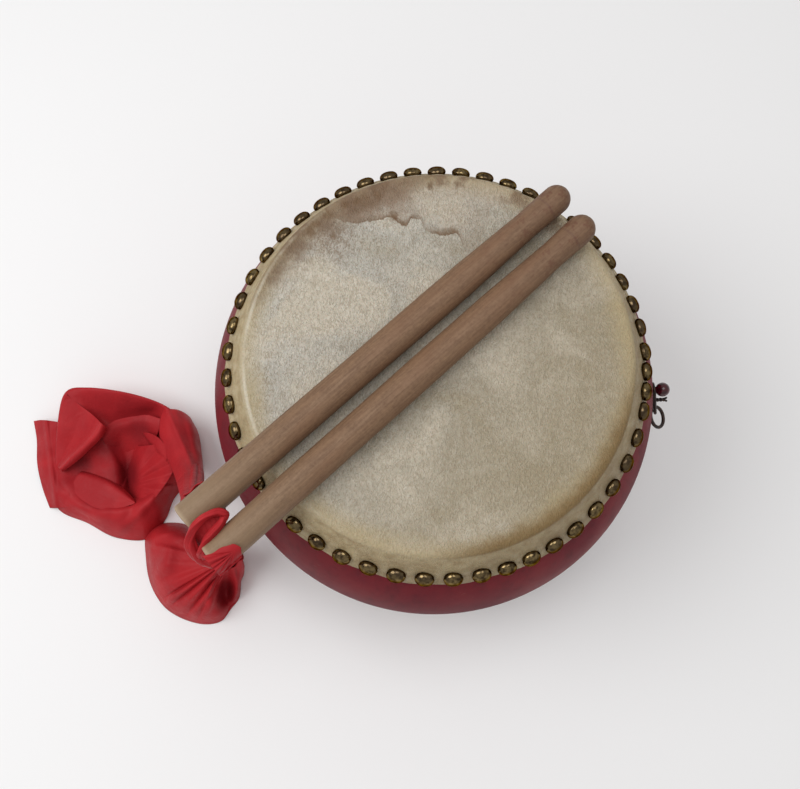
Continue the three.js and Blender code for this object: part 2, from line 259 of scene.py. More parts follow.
def raised(add, put, height, strength, distance):
    """Relief on a surface: the height from 0 to 1 stands that distance out."""
    put("Normal", add("Bump", {"Height": height, "Strength": strength, "Distance": distance}).outputs[0])


lacquer, add, put = finish_named("red_lacquer", Roughness=0.5, Coat_Weight=0.02, Coat_Roughness=0.2,
                                 Specular_IOR_Level=0.04)
where = add("TexCoord").outputs["Object"]
streak = speckle(add, drawn_out(add, where, (1, 1, 0.12)), 150, 5, 0.65)
cloud = speckle(add, where, 14, 4, 0.6)
tone = mixed(add, window(add, cloud, 0.3, 0.7), LACQUER_RED, LACQUER_DARKER)
tone = mixed(add, window(add, streak, 0.45, 0.75, 0, 0.45), tone, LACQUER_DEEP)
scuff = times(add, window(add, speckle(add, where, 260, 2), 0.66, 0.78),
              window(add, speckle(add, where, 20, 2), 0.5, 0.7))
tone = mixed(add, times(add, scuff, 0.4), tone, LACQUER_SCUFFED)
put("Base Color", tone)
put("Roughness", window(add, cloud, 0.2, 0.8, 0.42, 0.58))
raised(add, put, plus(add, streak, times(add, scuff, -0.5)), 0.25, 0.0006)

shell_ends = SKIN_THICKNESS + FIT_GAP
outer_heights = np.concatenate([
    np.linspace(shell_ends, BEVEL_HEIGHT, 8),
    np.linspace(BEVEL_HEIGHT, DRUM_HEIGHT - BEVEL_HEIGHT, 60)[1:],
    np.linspace(DRUM_HEIGHT - BEVEL_HEIGHT, DRUM_HEIGHT - shell_ends, 8)[1:]])
inner_heights = np.linspace(DRUM_HEIGHT - shell_ends, shell_ends, 40)
shell_radii = np.concatenate([barrel_radius(outer_heights), barrel_radius(inner_heights) - WALL_THICKNESS])
shell_corners = spun(shell_radii, np.concatenate([outer_heights, inner_heights]), BARREL_COLUMNS)
shell_faces = ring_faces(len(shell_corners), BARREL_COLUMNS, closed_rows=True)
barrel = mesh_piece("barrel", shell_corners, shell_faces, lacquer)
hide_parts("drum_shell")
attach(barrel, "root")

# The two skins are rawhide, put on wet, pulled down over the bevel and left to dry hard. The flat
# keeps its pebbled grain, the turned-down band is yellow, and the trimmed hem runs unevenly.
NAIL_DROP = 0.0186
NAIL_COUNT = 50
NAIL_RING_RADIUS = 0.107
HEM_BELOW_NAIL = 0.0056
EDGE_ROUND = 0.0016
EDGE_LIP = 0.00025
PUCKER_DEPTH = 0.00035
PUCKER_ACROSS = 0.0042
PUCKER_DOWN = 0.006
RIPPLE_HEIGHT = 0.00022
SKIN_COLUMNS = 400
BAND_ROWS = 26
FLAT_ROWS = 70
HIDE_PALE = (0.50, 0.445, 0.355)
HIDE_GREY = (0.44, 0.42, 0.375)
HIDE_WARM_SHADE = (0.31, 0.25, 0.155)
HIDE_GRAIN = (0.30, 0.245, 0.17)
HIDE_WRINKLE = (0.22, 0.175, 0.115)
HIDE_LIGHT = (0.62, 0.58, 0.50)
HIDE_YELLOW = (0.42, 0.33, 0.18)
HIDE_SCORCHED = (0.19, 0.12, 0.045)
HIDE_PAINTED_HIGHLIGHT = (0.62, 0.57, 0.46)
HIDE_BROWN = (0.15, 0.085, 0.04)
BAND_PALE = (0.44, 0.35, 0.20)
BAND_DEEP = (0.33, 0.245, 0.13)
BAND_WARM_SHADE = (0.26, 0.19, 0.115)
STAIN_BROWN = (0.235, 0.155, 0.10)
BLOT_BROWN = (0.17, 0.10, 0.055)
SMUDGE_BROWN = (0.16, 0.10, 0.06)
DAMP_BROWN = (0.19, 0.13, 0.085)
# Directions across the skin in which its edge is scorched, each with a strength
SCORCHED_SIDES = [(0.66, -0.75, 0.95), (-0.55, 0.83, 0.6)]
# The stain's edge, the damp patch and the dark spots with their sizes in mm, in pixels across and down
STAIN_REACH = 0.1
TIDE_SPOTS = [(322, 205), (330, 214), (338, 220), (352, 224), (366, 221), (379, 219.5), (390, 218),
              (398, 223.5), (405, 225), (411, 218.5), (420, 219), (425, 230), (436, 233), (447, 233),
              (457, 233), (461, 243), (468, 253), (482, 240), (500, 200)]
DAMP_SPOT = (330, 236)
DARK_SPOTS = [(430, 186, 2.4), (442, 184, 1.8), (457, 185, 3.4), (464, 188, 2.0), (345, 205, 4.2),
              (366, 198, 5.2), (376, 194, 4.2), (356, 201, 3.6), (327, 216, 4.2), (310, 232, 4.2),
              (318, 224, 3.6), (395, 216, 3.2), (333, 236, 3.4)]

nail_boxes = [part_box("nail_top_%02d" % number) for number in range(1, NAIL_COUNT + 1)]
nail_middles = np.array([(np.array(low) + np.array(high)) / 2 for low, high in nail_boxes])
nail_turns = np.arctan2(nail_middles[:, 1], nail_middles[:, 0])
tide_line = from_photo([(*spot, DRUM_HEIGHT * 1000) for spot in TIDE_SPOTS]).tolist()
damp_middle = from_photo([(*DAMP_SPOT, DRUM_HEIGHT * 1000)])[0].tolist()
dark_middles = from_photo([(across, down, DRUM_HEIGHT * 1000) for across, down, _ in DARK_SPOTS]).tolist()


def off_bevel(height, out):
    """Radius and height at a distance straight out of the wood at that height."""
    step = 0.00025
    fall = (barrel_radius(height - step) - barrel_radius(height + step)) / (2 * step)
    length = np.hypot(1, fall)
    return barrel_radius(height) + out / length, height + out * fall / length


def cap_faces(first, columns, middle, turned=False):
    """Triangles from a ring of corners, counted from its first one, to the corner in its middle."""
    column = first + np.arange(columns)
    after = np.roll(column, -1)
    pair = (after, column) if turned else (column, after)
    return np.stack([*pair, np.full(columns, middle)], -1).tolist()


def hide_skin(wave_start):
    """A closed skin: the flat disc, a rounded edge, the band down the bevel with a puckered dip at
    each nail and a wavy hem, then the same way back underneath at the hide's thickness."""
    around = round_angles(SKIN_COLUMNS)
    hem_wave = 0.0006 * np.sin(9 * around + wave_start) + 0.0005 * np.sin(23 * around + 2 * wave_start)
    hem = DRUM_HEIGHT - NAIL_DROP - HEM_BELOW_NAIL + hem_wave
    bend = DRUM_HEIGHT - SKIN_THICKNESS - FIT_GAP
    share = np.linspace(0, 1, BAND_ROWS)[:, None]
    band_height = hem[None, :] * (1 - share) + bend * share
    to_nail = (around[:, None] - nail_turns[None, :] + np.pi) % (2 * np.pi) - np.pi
    to_nail = np.abs(to_nail).min(1) * NAIL_RING_RADIUS
    pucker = (np.exp(-(to_nail / PUCKER_ACROSS) ** 2)[None, :]
              * np.exp(-((band_height - DRUM_HEIGHT + NAIL_DROP) / PUCKER_DOWN) ** 2))
    ripple = RIPPLE_HEIGHT * np.sin(NAIL_COUNT * around)[None, :] * share * (1 - share) * 4
    out_radius, out_height = off_bevel(band_height, FIT_GAP + SKIN_THICKNESS - PUCKER_DEPTH * pucker + ripple)
    in_radius, in_height = off_bevel(band_height, FIT_GAP)
    edge_radius = float(barrel_radius(bend))
    edge = np.array([[edge_radius + EDGE_ROUND * 0.95, DRUM_HEIGHT - EDGE_ROUND * 0.5],
                     [edge_radius + EDGE_ROUND * 0.45, DRUM_HEIGHT - EDGE_ROUND * 0.1],
                     [edge_radius - EDGE_ROUND * 0.3, DRUM_HEIGHT + EDGE_LIP],
                     [edge_radius - EDGE_ROUND * 1.2, DRUM_HEIGHT + EDGE_LIP * 0.8],
                     [edge_radius - EDGE_ROUND * 2.2, DRUM_HEIGHT]])
    flat = np.linspace(edge_radius - EDGE_ROUND * 3, 0.0005, FLAT_ROWS)
    under = DRUM_HEIGHT - SKIN_THICKNESS

    def rings(values):
        return np.repeat(np.asarray(values, float)[:, None], SKIN_COLUMNS, 1)

    radii = np.concatenate([out_radius, rings(edge[:, 0]), rings(flat), rings(flat[::-1]),
                            rings([edge_radius - 0.001, edge_radius]), in_radius[::-1]])
    heights = np.concatenate([out_height, rings(edge[:, 1]), rings(flat * 0 + DRUM_HEIGHT),
                              rings(flat * 0 + under), rings([under] * 2), in_height[::-1]])
    corners = np.stack([radii * np.cos(around), radii * np.sin(around), heights], -1).reshape(-1, 3)
    inmost = (BAND_ROWS + len(edge) + len(flat) - 1) * SKIN_COLUMNS
    faces = ring_faces(len(radii), SKIN_COLUMNS, closed_rows=True)
    faces = faces[faces[:, 0] // SKIN_COLUMNS != inmost // SKIN_COLUMNS].tolist()
    faces += cap_faces(inmost, SKIN_COLUMNS, len(corners))
    faces += cap_faces(inmost + SKIN_COLUMNS, SKIN_COLUMNS, len(corners) + 1, turned=True)
    return np.concatenate([corners, [[0, 0, DRUM_HEIGHT], [0, 0, under]]]), faces


def turned_over(corners):
    """The same shape for the drum's other end, turned over about the X axis."""
    return corners * np.array([1, -1, -1]) + np.array([0, 0, DRUM_HEIGHT])


def distance_to(add, where, spot):
    """How far each place is from one spot."""
    return add("VectorMath", {0: where, 1: spot}, operation="DISTANCE").outputs["Value"]


def stained_hide(add, tone, where, x, y, radius, worms, ragged, rim_place):
    """The upper skin's marks over a tone: a brown stain dried to a darker tide line, blots and a
    smudge by the far edge, a damp patch and dark spots."""
    across = add("MapRange", {"Value": x, "From Min": -STAIN_REACH, "From Max": STAIN_REACH})
    tide = add("FloatCurve", {"Value": across.outputs["Result"]})
    curve = tide.mapping.curves[0]
    for place, level, _ in tide_line:
        curve.points.new(0.5 + 0.5 * place / STAIN_REACH, level / STAIN_REACH)
    curve.points[0].location = (0, 1)
    curve.points[-1].location = (1, 1)
    tide.mapping.update()
    above = plus(add, less(add, y, times(add, tide.outputs[0], STAIN_REACH)), ragged)
    wet = times(add, window(add, above, 0, 0.003), window(add, x, 0.0, -0.02, 0.3, 1))
    blotch = window(add, speckle(add, where, 55, 4, 0.6), 0.34, 0.62, 0.35, 1)
    tone = mixed(add, times(add, times(add, wet, blotch), 0.8), tone, STAIN_BROWN)
    blots = window(add, speckle(add, where, 75, 4, 0.65), 0.47, 0.62)
    blots = times(add, blots, window(add, rim_place, 0.082, 0.094))
    blots = times(add, blots, window(add, y, 0.045, 0.065))
    tone = mixed(add, times(add, blots, 0.75), tone, BLOT_BROWN)
    far_left = less(add, times(add, y, 0.8), times(add, x, 0.6))
    smudge = window(add, plus(add, radius, times(add, ragged, 1.6)), 0.074, 0.088)
    smudge = times(add, smudge, window(add, far_left, 0.072, 0.086))
    smudge = times(add, smudge, window(add, radius, 0.0965, 0.0925, 0.35, 1))
    smudge = times(add, smudge, window(add, speckle(add, where, 90, 4, 0.6), 0.35, 0.62, 0.3, 0.85))
    tone = mixed(add, smudge, tone, SMUDGE_BROWN)
    line = times(add, window(add, above, -0.0005, 0.0001), window(add, above, 0.0040, 0.0))
    line = times(add, line, window(add, speckle(add, where, 60, 2), 0.35, 0.58, 0.3, 1))
    line = times(add, line, window(add, x, 0.022, 0.012))
    tone = mixed(add, times(add, line, 0.9), tone, HIDE_BROWN)
    damp = plus(add, distance_to(add, where, damp_middle), times(add, ragged, 2.0))
    damp = times(add, window(add, damp, 0.021, 0.004, 0, 0.55), window(add, worms, 0.35, 0.6, 0.35, 1))
    tone = mixed(add, damp, tone, DAMP_BROWN)
    for middle, (_, _, size) in zip(dark_middles, DARK_SPOTS):
        away = plus(add, distance_to(add, where, middle), times(add, ragged, 1.2))
        tone = mixed(add, window(add, away, size / 1000, 0, 0, 0.8), tone, HIDE_BROWN)
    return tone


def hide_finish(name, stained):
    """Rawhide: pale grey-beige flat with pebbled grain and faint clouds, warmer and darker towards one
    side, partly its own tone and partly painted shade, with a painted highlight along the flat's edge at
    the left, a scorched edge in places and a yellow band."""
    material, add, put = finish_named(name, Roughness=0.62, Specular_IOR_Level=0.35,
                                      Subsurface_Weight=0.04, Subsurface_Scale=0.002)
    where = add("TexCoord").outputs["Object"]
    x, y, z = add("SeparateXYZ", {"Vector": where}).outputs
    flat_place = add("CombineXYZ", {"X": x, "Y": y}).outputs[0]
    radius = add("VectorMath", {0: flat_place}, operation="LENGTH").outputs["Value"]
    cloud = speckle(add, where, 26, 5, 0.6, 0.6)
    fine = speckle(add, where, 190, 4, 0.6)
    aslant = add("Mapping", {"Vector": where, "Rotation": (0, 0, 0.35), "Scale": (1.9, 1, 1)}).outputs[0]
    worms = speckle(add, aslant, 480, 1.5, 0.5, 1.6)
    tone = mixed(add, window(add, cloud, 0.38, 0.62), HIDE_PALE, HIDE_GREY)
    # Warmer and darker towards the lower right: partly the hide's own warmer tone, partly painted shade for
    # the side away from the lamp.
    warm_and_shade = plus(add, times(add, x, 3.6), times(add, y, -2.6))
    warm_and_shade = plus(add, warm_and_shade, times(add, cloud, 1.5))
    tone = mixed(add, window(add, warm_and_shade, 0.42, 1.25, 0, 0.9), tone, HIDE_WARM_SHADE)
    tone = mixed(add, window(add, fine, 0.45, 0.75, 0, 0.22), tone, HIDE_GRAIN)
    coarse = window(add, less(add, cloud, times(add, warm_and_shade, 0.25)), 0.25, 0.7, 0.38, 0.85)
    tone = mixed(add, times(add, window(add, worms, 0.5, 0.66), coarse), tone, HIDE_WRINKLE)
    light_grain = times(add, window(add, worms, 0.47, 0.36), window(add, warm_and_shade, 0.3, 0.9, 0.42, 0.12))
    tone = mixed(add, light_grain, tone, HIDE_LIGHT)
    near_rim = plus(add, radius, times(add, less(add, cloud, 0.5), 0.02))
    tone = mixed(add, times(add, window(add, near_rim, 0.083, 0.0975), 0.7), tone, HIDE_YELLOW)
    ragged = times(add, less(add, speckle(add, where, 120, 5, 0.65), 0.5), 0.009)
    rim_place = plus(add, radius, times(add, ragged, 0.9))
    for toward_x, toward_y, strength in SCORCHED_SIDES:
        toward = plus(add, times(add, x, toward_x), times(add, y, toward_y))
        scorched = times(add, window(add, toward, 0.062, 0.088), window(add, rim_place, 0.0865, 0.0955))
        tone = mixed(add, times(add, scorched, strength), tone, HIDE_SCORCHED)
    # Painted highlight: a thin pale line just inside the flat's edge, strongest at the left, stands in for
    # light caught on the edge.
    edge_highlight = window(add, unsigned(add, less(add, radius, 0.0953)), 0.0013, 0.0002)
    highlight_side = times(add, window(add, x, -0.04, -0.09, 0, 0.7), window(add, cloud, 0.4, 0.6, 0.25, 1))
    tone = mixed(add, times(add, edge_highlight, highlight_side), tone, HIDE_PAINTED_HIGHLIGHT)
    band_from, band_to = 0.0006, 0.0024
    if stained:
        tone = stained_hide(add, tone, where, x, y, radius, worms, ragged, rim_place)
        band_from, band_to = DRUM_HEIGHT - band_from, DRUM_HEIGHT - band_to
    band_tone = mixed(add, window(add, fine, 0.35, 0.7), BAND_PALE, BAND_DEEP)
    # The band is also darker towards the lower right, partly its own tone and partly painted shade.
    band_tone = mixed(add, window(add, warm_and_shade, 0.7, 1.3, 0, 0.6), band_tone, BAND_WARM_SHADE)
    put("Base Color", mixed(add, window(add, z, band_from, band_to), tone, band_tone))
    put("Roughness", window(add, fine, 0.3, 0.7, 0.5, 0.72))
    raised(add, put, plus(add, times(add, worms, -1.1), times(add, fine, 0.35)), 0.7, 0.0012)
    return material


for node, wave_start, on_top in (("head_top", 0.4, True), ("head_bottom", 2.1, False)):
    skin_corners, skin_faces = hide_skin(wave_start)
    if not on_top:
        skin_corners = turned_over(skin_corners)
    hide = mesh_piece("skin_" + node[5:], skin_corners, skin_faces, hide_finish("hide_" + node[5:], on_top))
    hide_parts(node)
    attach(hide, "root")

# Domed brass nails hold each skin to the barrel in one ring, set by hand, so their spacing varies.
# Their brass is tarnished dark in patches, and some are duller than others.
NAIL_RADIUS = 0.0049
NAIL_DOME = 0.0034
NAIL_RIM = 0.0009
NAIL_TILT = 0.06
NAIL_COLUMNS = 20
NAIL_RISE = (0, 0, 12, 28, 46, 64, 80)
BRASS_RIM_TINT = (0.32, 0.25, 0.16, 1)
BRASS_BRIGHT = (0.26, 0.19, 0.09)
BRASS_DARK = (0.055, 0.037, 0.021)
BRASS_DULL = (0.075, 0.052, 0.035)

brass, add, put = finish_named("aged_brass", metallic=1.0, Roughness=0.18, Specular_Tint=BRASS_RIM_TINT)
where = add("TexCoord").outputs["Object"]
tarnish = speckle(add, where, 420, 4, 0.65)
each_nail = speckle(add, where, 60, 1)
tone = mixed(add, window(add, tarnish, 0.35, 0.65), BRASS_BRIGHT, BRASS_DARK)
tone = mixed(add, window(add, each_nail, 0.4, 0.62, 0, 0.6), tone, BRASS_DULL)
put("Base Color", tone)
put("Roughness", window(add, tarnish, 0.3, 0.7, 0.11, 0.24))
raised(add, put, tarnish, 0.35, 0.0003)


def nail_dome(turn_at, number):
    """A dome of revolution on a flat back, from a small turned-in rim up to a slightly tilted top,
    carried to the bevel at its angle and leaned to stand straight out of the wood."""
    rise = np.radians(NAIL_RISE)
    radii = NAIL_RADIUS * np.cos(rise) ** 0.8
    radii[0] *= 0.9
    heights = NAIL_DOME * (0.1 + 0.9 * np.sin(rise))
    heights[0] = -NAIL_RIM
    local = spun(radii, heights, NAIL_COLUMNS).reshape(-1, 3)
    faces = ring_faces(len(radii), NAIL_COLUMNS).tolist()
    faces += cap_faces(len(local) - NAIL_COLUMNS, NAIL_COLUMNS, len(local))
    faces += cap_faces(0, NAIL_COLUMNS, len(local) + 1, turned=True)
    local = np.concatenate([local, [[0, 0, NAIL_DOME], [0, 0, 0]]])
    tilt = NAIL_TILT * math.sin(3.7 * number)
    local = local @ np.array([[1, 0, tilt], [0, 1, -tilt], [-tilt, tilt, 1]]).T
    local[:, 2] += 0.0002
    level = DRUM_HEIGHT - NAIL_DROP
    edge_radii, edge_heights = off_bevel(level + NAIL_RADIUS * np.array([-1, 1]), SKIN_THICKNESS + FIT_GAP)
    chord = math.hypot(edge_radii[0] - edge_radii[1], edge_heights[1] - edge_heights[0])
    lean, across = (edge_radii[0] - edge_radii[1]) / chord, (edge_heights[1] - edge_heights[0]) / chord
    seat_radius, seat_height = edge_radii.mean() + FIT_GAP * across, edge_heights.mean() + FIT_GAP * lean
    outward = np.array([across * math.cos(turn_at), across * math.sin(turn_at), lean])
    sideways = np.array([-math.sin(turn_at), math.cos(turn_at), 0])
    upward = np.cross(outward, sideways)
    seat = np.array([seat_radius * math.cos(turn_at), seat_radius * math.sin(turn_at), seat_height])
    return seat + local[:, :1] * sideways + local[:, 1:2] * -upward + local[:, 2:] * outward, faces


for number, turn_at in enumerate(nail_turns, 1):
    nail_corners, nail_faces = nail_dome(turn_at, number)
    nail = mesh_piece("brass_nail_top_%02d" % number, nail_corners, nail_faces, brass)
    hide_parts("nail_top_%02d" % number)
    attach(nail, "root")
    low_nail = mesh_piece("brass_nail_low_%02d" % number, turned_over(nail_corners), nail_faces, brass)
    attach(low_nail, "root")

# Two plain beaters, turned from one light wood and left bare. They narrow a little before a
# rounded tip, and handling and beating have darkened and scuffed them.
STICK_LENGTH = 0.246
STICK_RADIUS = 0.008
STICK_NECK_RADIUS = 0.0069
STICK_NECK_FROM_TIP = 0.027
STICK_TIP_RADIUS = 0.0074
STICK_TAPER = 0.070
BUTT_ROUNDING = 0.0014
STICK_AXIS_HEIGHT = DRUM_HEIGHT + 0.0003 + STICK_RADIUS
STICK_COLUMNS = 72
# Angles, from the middle of the tip's ball, of the last rings
TIP_ANGLES = (-30, -18, -6, 6, 18, 30, 42, 54, 65, 75, 84)
WAVER_ROUND = 0.00006
WAVER_ALONG = 0.00005
# Each beater's butt, and the angle at which it lies
STICKS = {"upper": ((-0.1193, -0.0784), math.radians(41.08)),
          "lower": ((-0.1063, -0.0961), math.radians(41.61))}
WOOD_PALE = (0.235, 0.140, 0.078)
WOOD_BROWN = (0.140, 0.076, 0.043)
WOOD_RUDDY = (0.20, 0.104, 0.056)
WOOD_PORE = (0.075, 0.04, 0.024)
WOOD_CLEAN = (0.26, 0.18, 0.108)
WOOD_WORKED = (0.14, 0.075, 0.045)
WOOD_SCUFFED = (0.125, 0.05, 0.028)
WOOD_TURNED_LINE = (0.12, 0.06, 0.04)
WOOD_BUTT_EDGE = (0.42, 0.32, 0.215)


def by_beater(butt, heading, reach, sideways, upward):
    """Places measured from a beater's butt: along its line, sideways, and up from its middle."""
    x = butt[0] + reach * math.cos(heading) - sideways * math.sin(heading)
    y = butt[1] + reach * math.sin(heading) + sideways * math.cos(heading)
    return np.stack([x, y, STICK_AXIS_HEIGHT + upward], -1)


def beater_shape(butt, heading, wobble):
    """A profile carried along the beater's line: rounded butt edge, straight handle, slow taper,
    swollen rounded tip. The radius wavers by a few hundredths of a millimetre along and around."""
    ball_middle = STICK_LENGTH - STICK_TIP_RADIUS
    ball_foot = STICK_LENGTH - STICK_TIP_RADIUS * 1.6
    along = np.concatenate([[0, 0], np.linspace(0.0002, BUTT_ROUNDING, 6),
                            np.linspace(BUTT_ROUNDING, ball_foot, 110)[1:],
                            ball_middle + STICK_TIP_RADIUS * np.sin(np.radians(TIP_ANGLES))])
    radii = np.interp(along, [0, STICK_LENGTH - STICK_TAPER, STICK_LENGTH - STICK_NECK_FROM_TIP, ball_foot,
                              STICK_LENGTH],
                      [STICK_RADIUS, STICK_RADIUS, STICK_NECK_RADIUS, STICK_TIP_RADIUS, STICK_TIP_RADIUS])
    to_edge = np.clip(BUTT_ROUNDING - along, 0, None)
    radii = radii - BUTT_ROUNDING + np.sqrt(np.clip(BUTT_ROUNDING ** 2 - to_edge ** 2, 0, None))
    past = np.clip(along - ball_middle, 0, STICK_TIP_RADIUS)
    radii = radii * np.sqrt(1 - (past / STICK_TIP_RADIUS) ** 2)
    radii[0] = 0.0004
    around = round_angles(STICK_COLUMNS)
    waver = (WAVER_ROUND * np.sin(2 * around[None, :] + 40 * along[:, None] + wobble)
             + WAVER_ALONG * np.sin(90 * along[:, None] + wobble))
    ring = radii[:, None] + waver * (radii[:, None] > 0.004) - 0.0001
    reach = along[:, None] + 0 * around
    corners = by_beater(butt, heading, reach, ring * np.cos(around), ring * np.sin(around))
    ends = by_beater(butt, heading, np.array([0, STICK_LENGTH]), 0, np.zeros(2))
    faces = ring_faces(len(along), STICK_COLUMNS).tolist()
    faces += cap_faces(0, STICK_COLUMNS, ring.size, turned=True)
    faces += cap_faces(ring.size - STICK_COLUMNS, STICK_COLUMNS, ring.size + 1)
    return np.concatenate([corners.reshape(-1, 3), ends]), faces


def beater_wood(name, butt, heading):
    """Bare wood with long grain and pores along the beater, paler at the butt and with brown scuffs
    by the tip."""
    material, add, put = finish_named(name, Roughness=0.6, Specular_IOR_Level=0.35)
    where = add("TexCoord").outputs["Object"]
    to_butt = (-butt[0], -butt[1], -STICK_AXIS_HEIGHT)
    centred = add("VectorMath", {0: where, 1: to_butt}, operation="ADD").outputs[0]
    lined = add("VectorRotate", {"Vector": centred, "Angle": -heading}, rotation_type="Z_AXIS").outputs[0]
    along = add("SeparateXYZ", {"Vector": lined}).outputs[0]
    grain = plus(add, times(add, speckle(add, drawn_out(add, lined, (0.06, 1, 1)), 900, 5, 0.6), 0.62),
                 times(add, speckle(add, lined, 620, 3, 0.7), 0.38))
    broad = speckle(add, drawn_out(add, lined, (0.12, 1, 1)), 210, 3, 0.5)
    pores = window(add, speckle(add, drawn_out(add, lined, (0.1, 1, 1)), 2600, 2), 0.6, 0.7)
    tone = mixed(add, window(add, grain, 0.3, 0.7), WOOD_PALE, WOOD_BROWN)
    tone = mixed(add, window(add, broad, 0.35, 0.7, 0, 0.5), tone, WOOD_RUDDY)
    tone = mixed(add, times(add, pores, 0.35), tone, WOOD_PORE)
    clean = window(add, plus(add, along, times(add, broad, 0.02)), 0.075, 0.002, 0, 0.75)
    tone = mixed(add, clean, tone, WOOD_CLEAN)
    tip = window(add, along, STICK_LENGTH - 0.085, STICK_LENGTH - 0.01)
    tone = mixed(add, times(add, tip, 0.3), tone, WOOD_WORKED)
    scuffs = window(add, speckle(add, lined, 170, 5, 0.7), 0.5, 0.66)
    tone = mixed(add, times(add, times(add, tip, scuffs), 0.75), tone, WOOD_SCUFFED)
    turned_line = window(add, unsigned(add, less(add, along, STICK_LENGTH - 0.0155)), 0.0009, 0.0002)
    tone = mixed(add, times(add, turned_line, 0.4), tone, WOOD_TURNED_LINE)
    tone = mixed(add, window(add, along, 0.0028, 0.0006, 0, 0.6), tone, WOOD_BUTT_EDGE)
    put("Base Color", tone)
    put("Roughness", window(add, grain, 0.3, 0.7, 0.5, 0.7))
    relief = plus(add, grain, times(add, pores, -0.6))
    raised(add, put, relief, 0.4, 0.0004)
    return material


for side, (butt, heading) in STICKS.items():
    stick_corners, stick_faces = beater_shape(butt, heading, 1.0 if side == "upper" else 2.6)
    wood = beater_wood("wood_" + side, butt, heading)
    beater = mesh_piece("beater_" + side, stick_corners, stick_faces, wood)
    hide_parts("stick_" + side)
    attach(beater, "root")

# The upper beater's scarf is a square of thin, slightly shiny red cloth. Its bunch lies on the table
# like an open rose: a bowl of cloth, with loose folds over its rim. One gathered strand rises from
# the bowl to the butt of the beater and is wrapped round its underside.
CLOTH_THICKNESS = 0.0004
CLOTH_RED = (0.42, 0.020, 0.025)
CLOTH_DEEPER = (0.336, 0.016, 0.021)
CLOTH_PAINTED_SHADE = (0.09, 0.004, 0.007)
CLOTH_SHEEN = (1.0, 0.2, 0.2, 1)
THREADS = {"Scale": 520, "Distortion": 0.4, "Detail": 1}
# Spots inside the bunches where shade is painted into the cloth's colour, each with its reach and its
# strength
PAINTED_SHADE_SPOTS = [((127, 474, 4), 0.019, 0.72), ((225, 592, 8), 0.017, 0.6), ((110, 448, 12), 0.013, 0.5),
                ((84, 463, 10), 0.010, 0.5), ((67, 484, 8), 0.008, 0.45), ((140, 428, 16), 0.012, 0.4)]
FLOOR_CLEARANCE = 0.5
CRADLE_INSIDE = STICK_RADIUS + 0.0006
CRADLE_FROM_BUTT = 0.012
WRAP_RIPPLE = 0.0004
STRAND_FACES = (0.35, -0.94, 0.0)


def spline_shares(points, samples, closed=False):
    """How much each of a row of points counts at evenly spaced samples of a smooth curve through
    them: cubic blends of four neighbours, with the ends carried on straight."""
    spot = np.linspace(0, points if closed else points - 1, samples, endpoint=not closed)
    first = np.minimum(spot.astype(int), points - 1 if closed else points - 2)
    part = spot - first
    blends = np.stack([-part + 2 * part ** 2 - part ** 3, 2 - 5 * part ** 2 + 3 * part ** 3,
                       part + 4 * part ** 2 - 3 * part ** 3, part ** 3 - part ** 2], 1) / 2
    shares = np.zeros((samples, points))
    row = np.arange(samples)
    for offset in range(4):
        which = first - 1 + offset
        if closed:
            np.add.at(shares, (row, which % points), blends[:, offset])
        else:
            inside = np.clip(which, 0, points - 1)
            beyond = which - inside
            np.add.at(shares, (row, inside), blends[:, offset] * (1 + np.abs(beyond)))
            mirror = np.clip(inside - beyond, 0, points - 1)
            np.add.at(shares, (row, mirror), -blends[:, offset] * np.abs(beyond))
    return shares


def soft_sheet(net, rows, columns, closed=False):
    """A smooth surface through a net of points, row curves across column curves."""
    net = np.asarray(net, float)
    down_rows = spline_shares(net.shape[0], rows)
    across_columns = spline_shares(net.shape[1], columns, closed)
    return np.einsum("ri,cj,ijk->rck", down_rows, across_columns, net)


def ridge(value, place, width):
    """A soft ridge of height 1 where a value passes a place."""
    return np.exp(-((value - place) / width) ** 2)


def ridges(value, places):
    """Ridges and grooves side by side, each a place, a width and a height."""
    return sum(height * ridge(value, place, width) for place, width, height in places)


def sheet_faces(rows, columns, closed=False):
    """Quads of an open grid, or of one that closes on itself across its columns."""
    if closed:
        return ring_faces(rows, columns)
    faces = ring_faces(rows, columns).reshape(rows - 1, columns, 4)
    return faces[:, :-1].reshape(-1, 4)


def sewn(name, patches, material):
    """One piece of cloth from several sheets, each its corners and whether its columns close, with
    the distance along and across each sheet, in metres, as its weave coordinates."""
    corners, faces, weaves, start = [], [], [], 0
    for sheet, closed in patches:
        rows, columns = sheet.shape[:2]
        corners.append(sheet.reshape(-1, 3))
        grid = sheet_faces(rows, columns, closed)
        along = np.cumsum(np.linalg.norm(np.diff(sheet, axis=0, prepend=sheet[:1]), axis=2), 0).mean(1)
        across = np.cumsum(np.linalg.norm(np.diff(sheet, axis=1, prepend=sheet[:, :1]), axis=2), 1).mean(0)
        spread = np.stack([np.broadcast_to(across[None, :], (rows, columns)),
                           np.broadcast_to(along[:, None], (rows, columns))], -1).reshape(-1, 2)
        weaves.append(spread[grid].reshape(-1, 2))
        faces.append(grid + start)
        start += rows * columns
    piece = mesh_piece(name, np.concatenate(corners), np.concatenate(faces), material)
    weave = piece.data.uv_layers.new(name="weave")
    weave.data.foreach_set("uv", np.concatenate(weaves).astype(np.float32).ravel())
    thick = piece.modifiers.new("thickness", "SOLIDIFY")
    thick.thickness = CLOTH_THICKNESS
    thick.offset = 0
    return piece


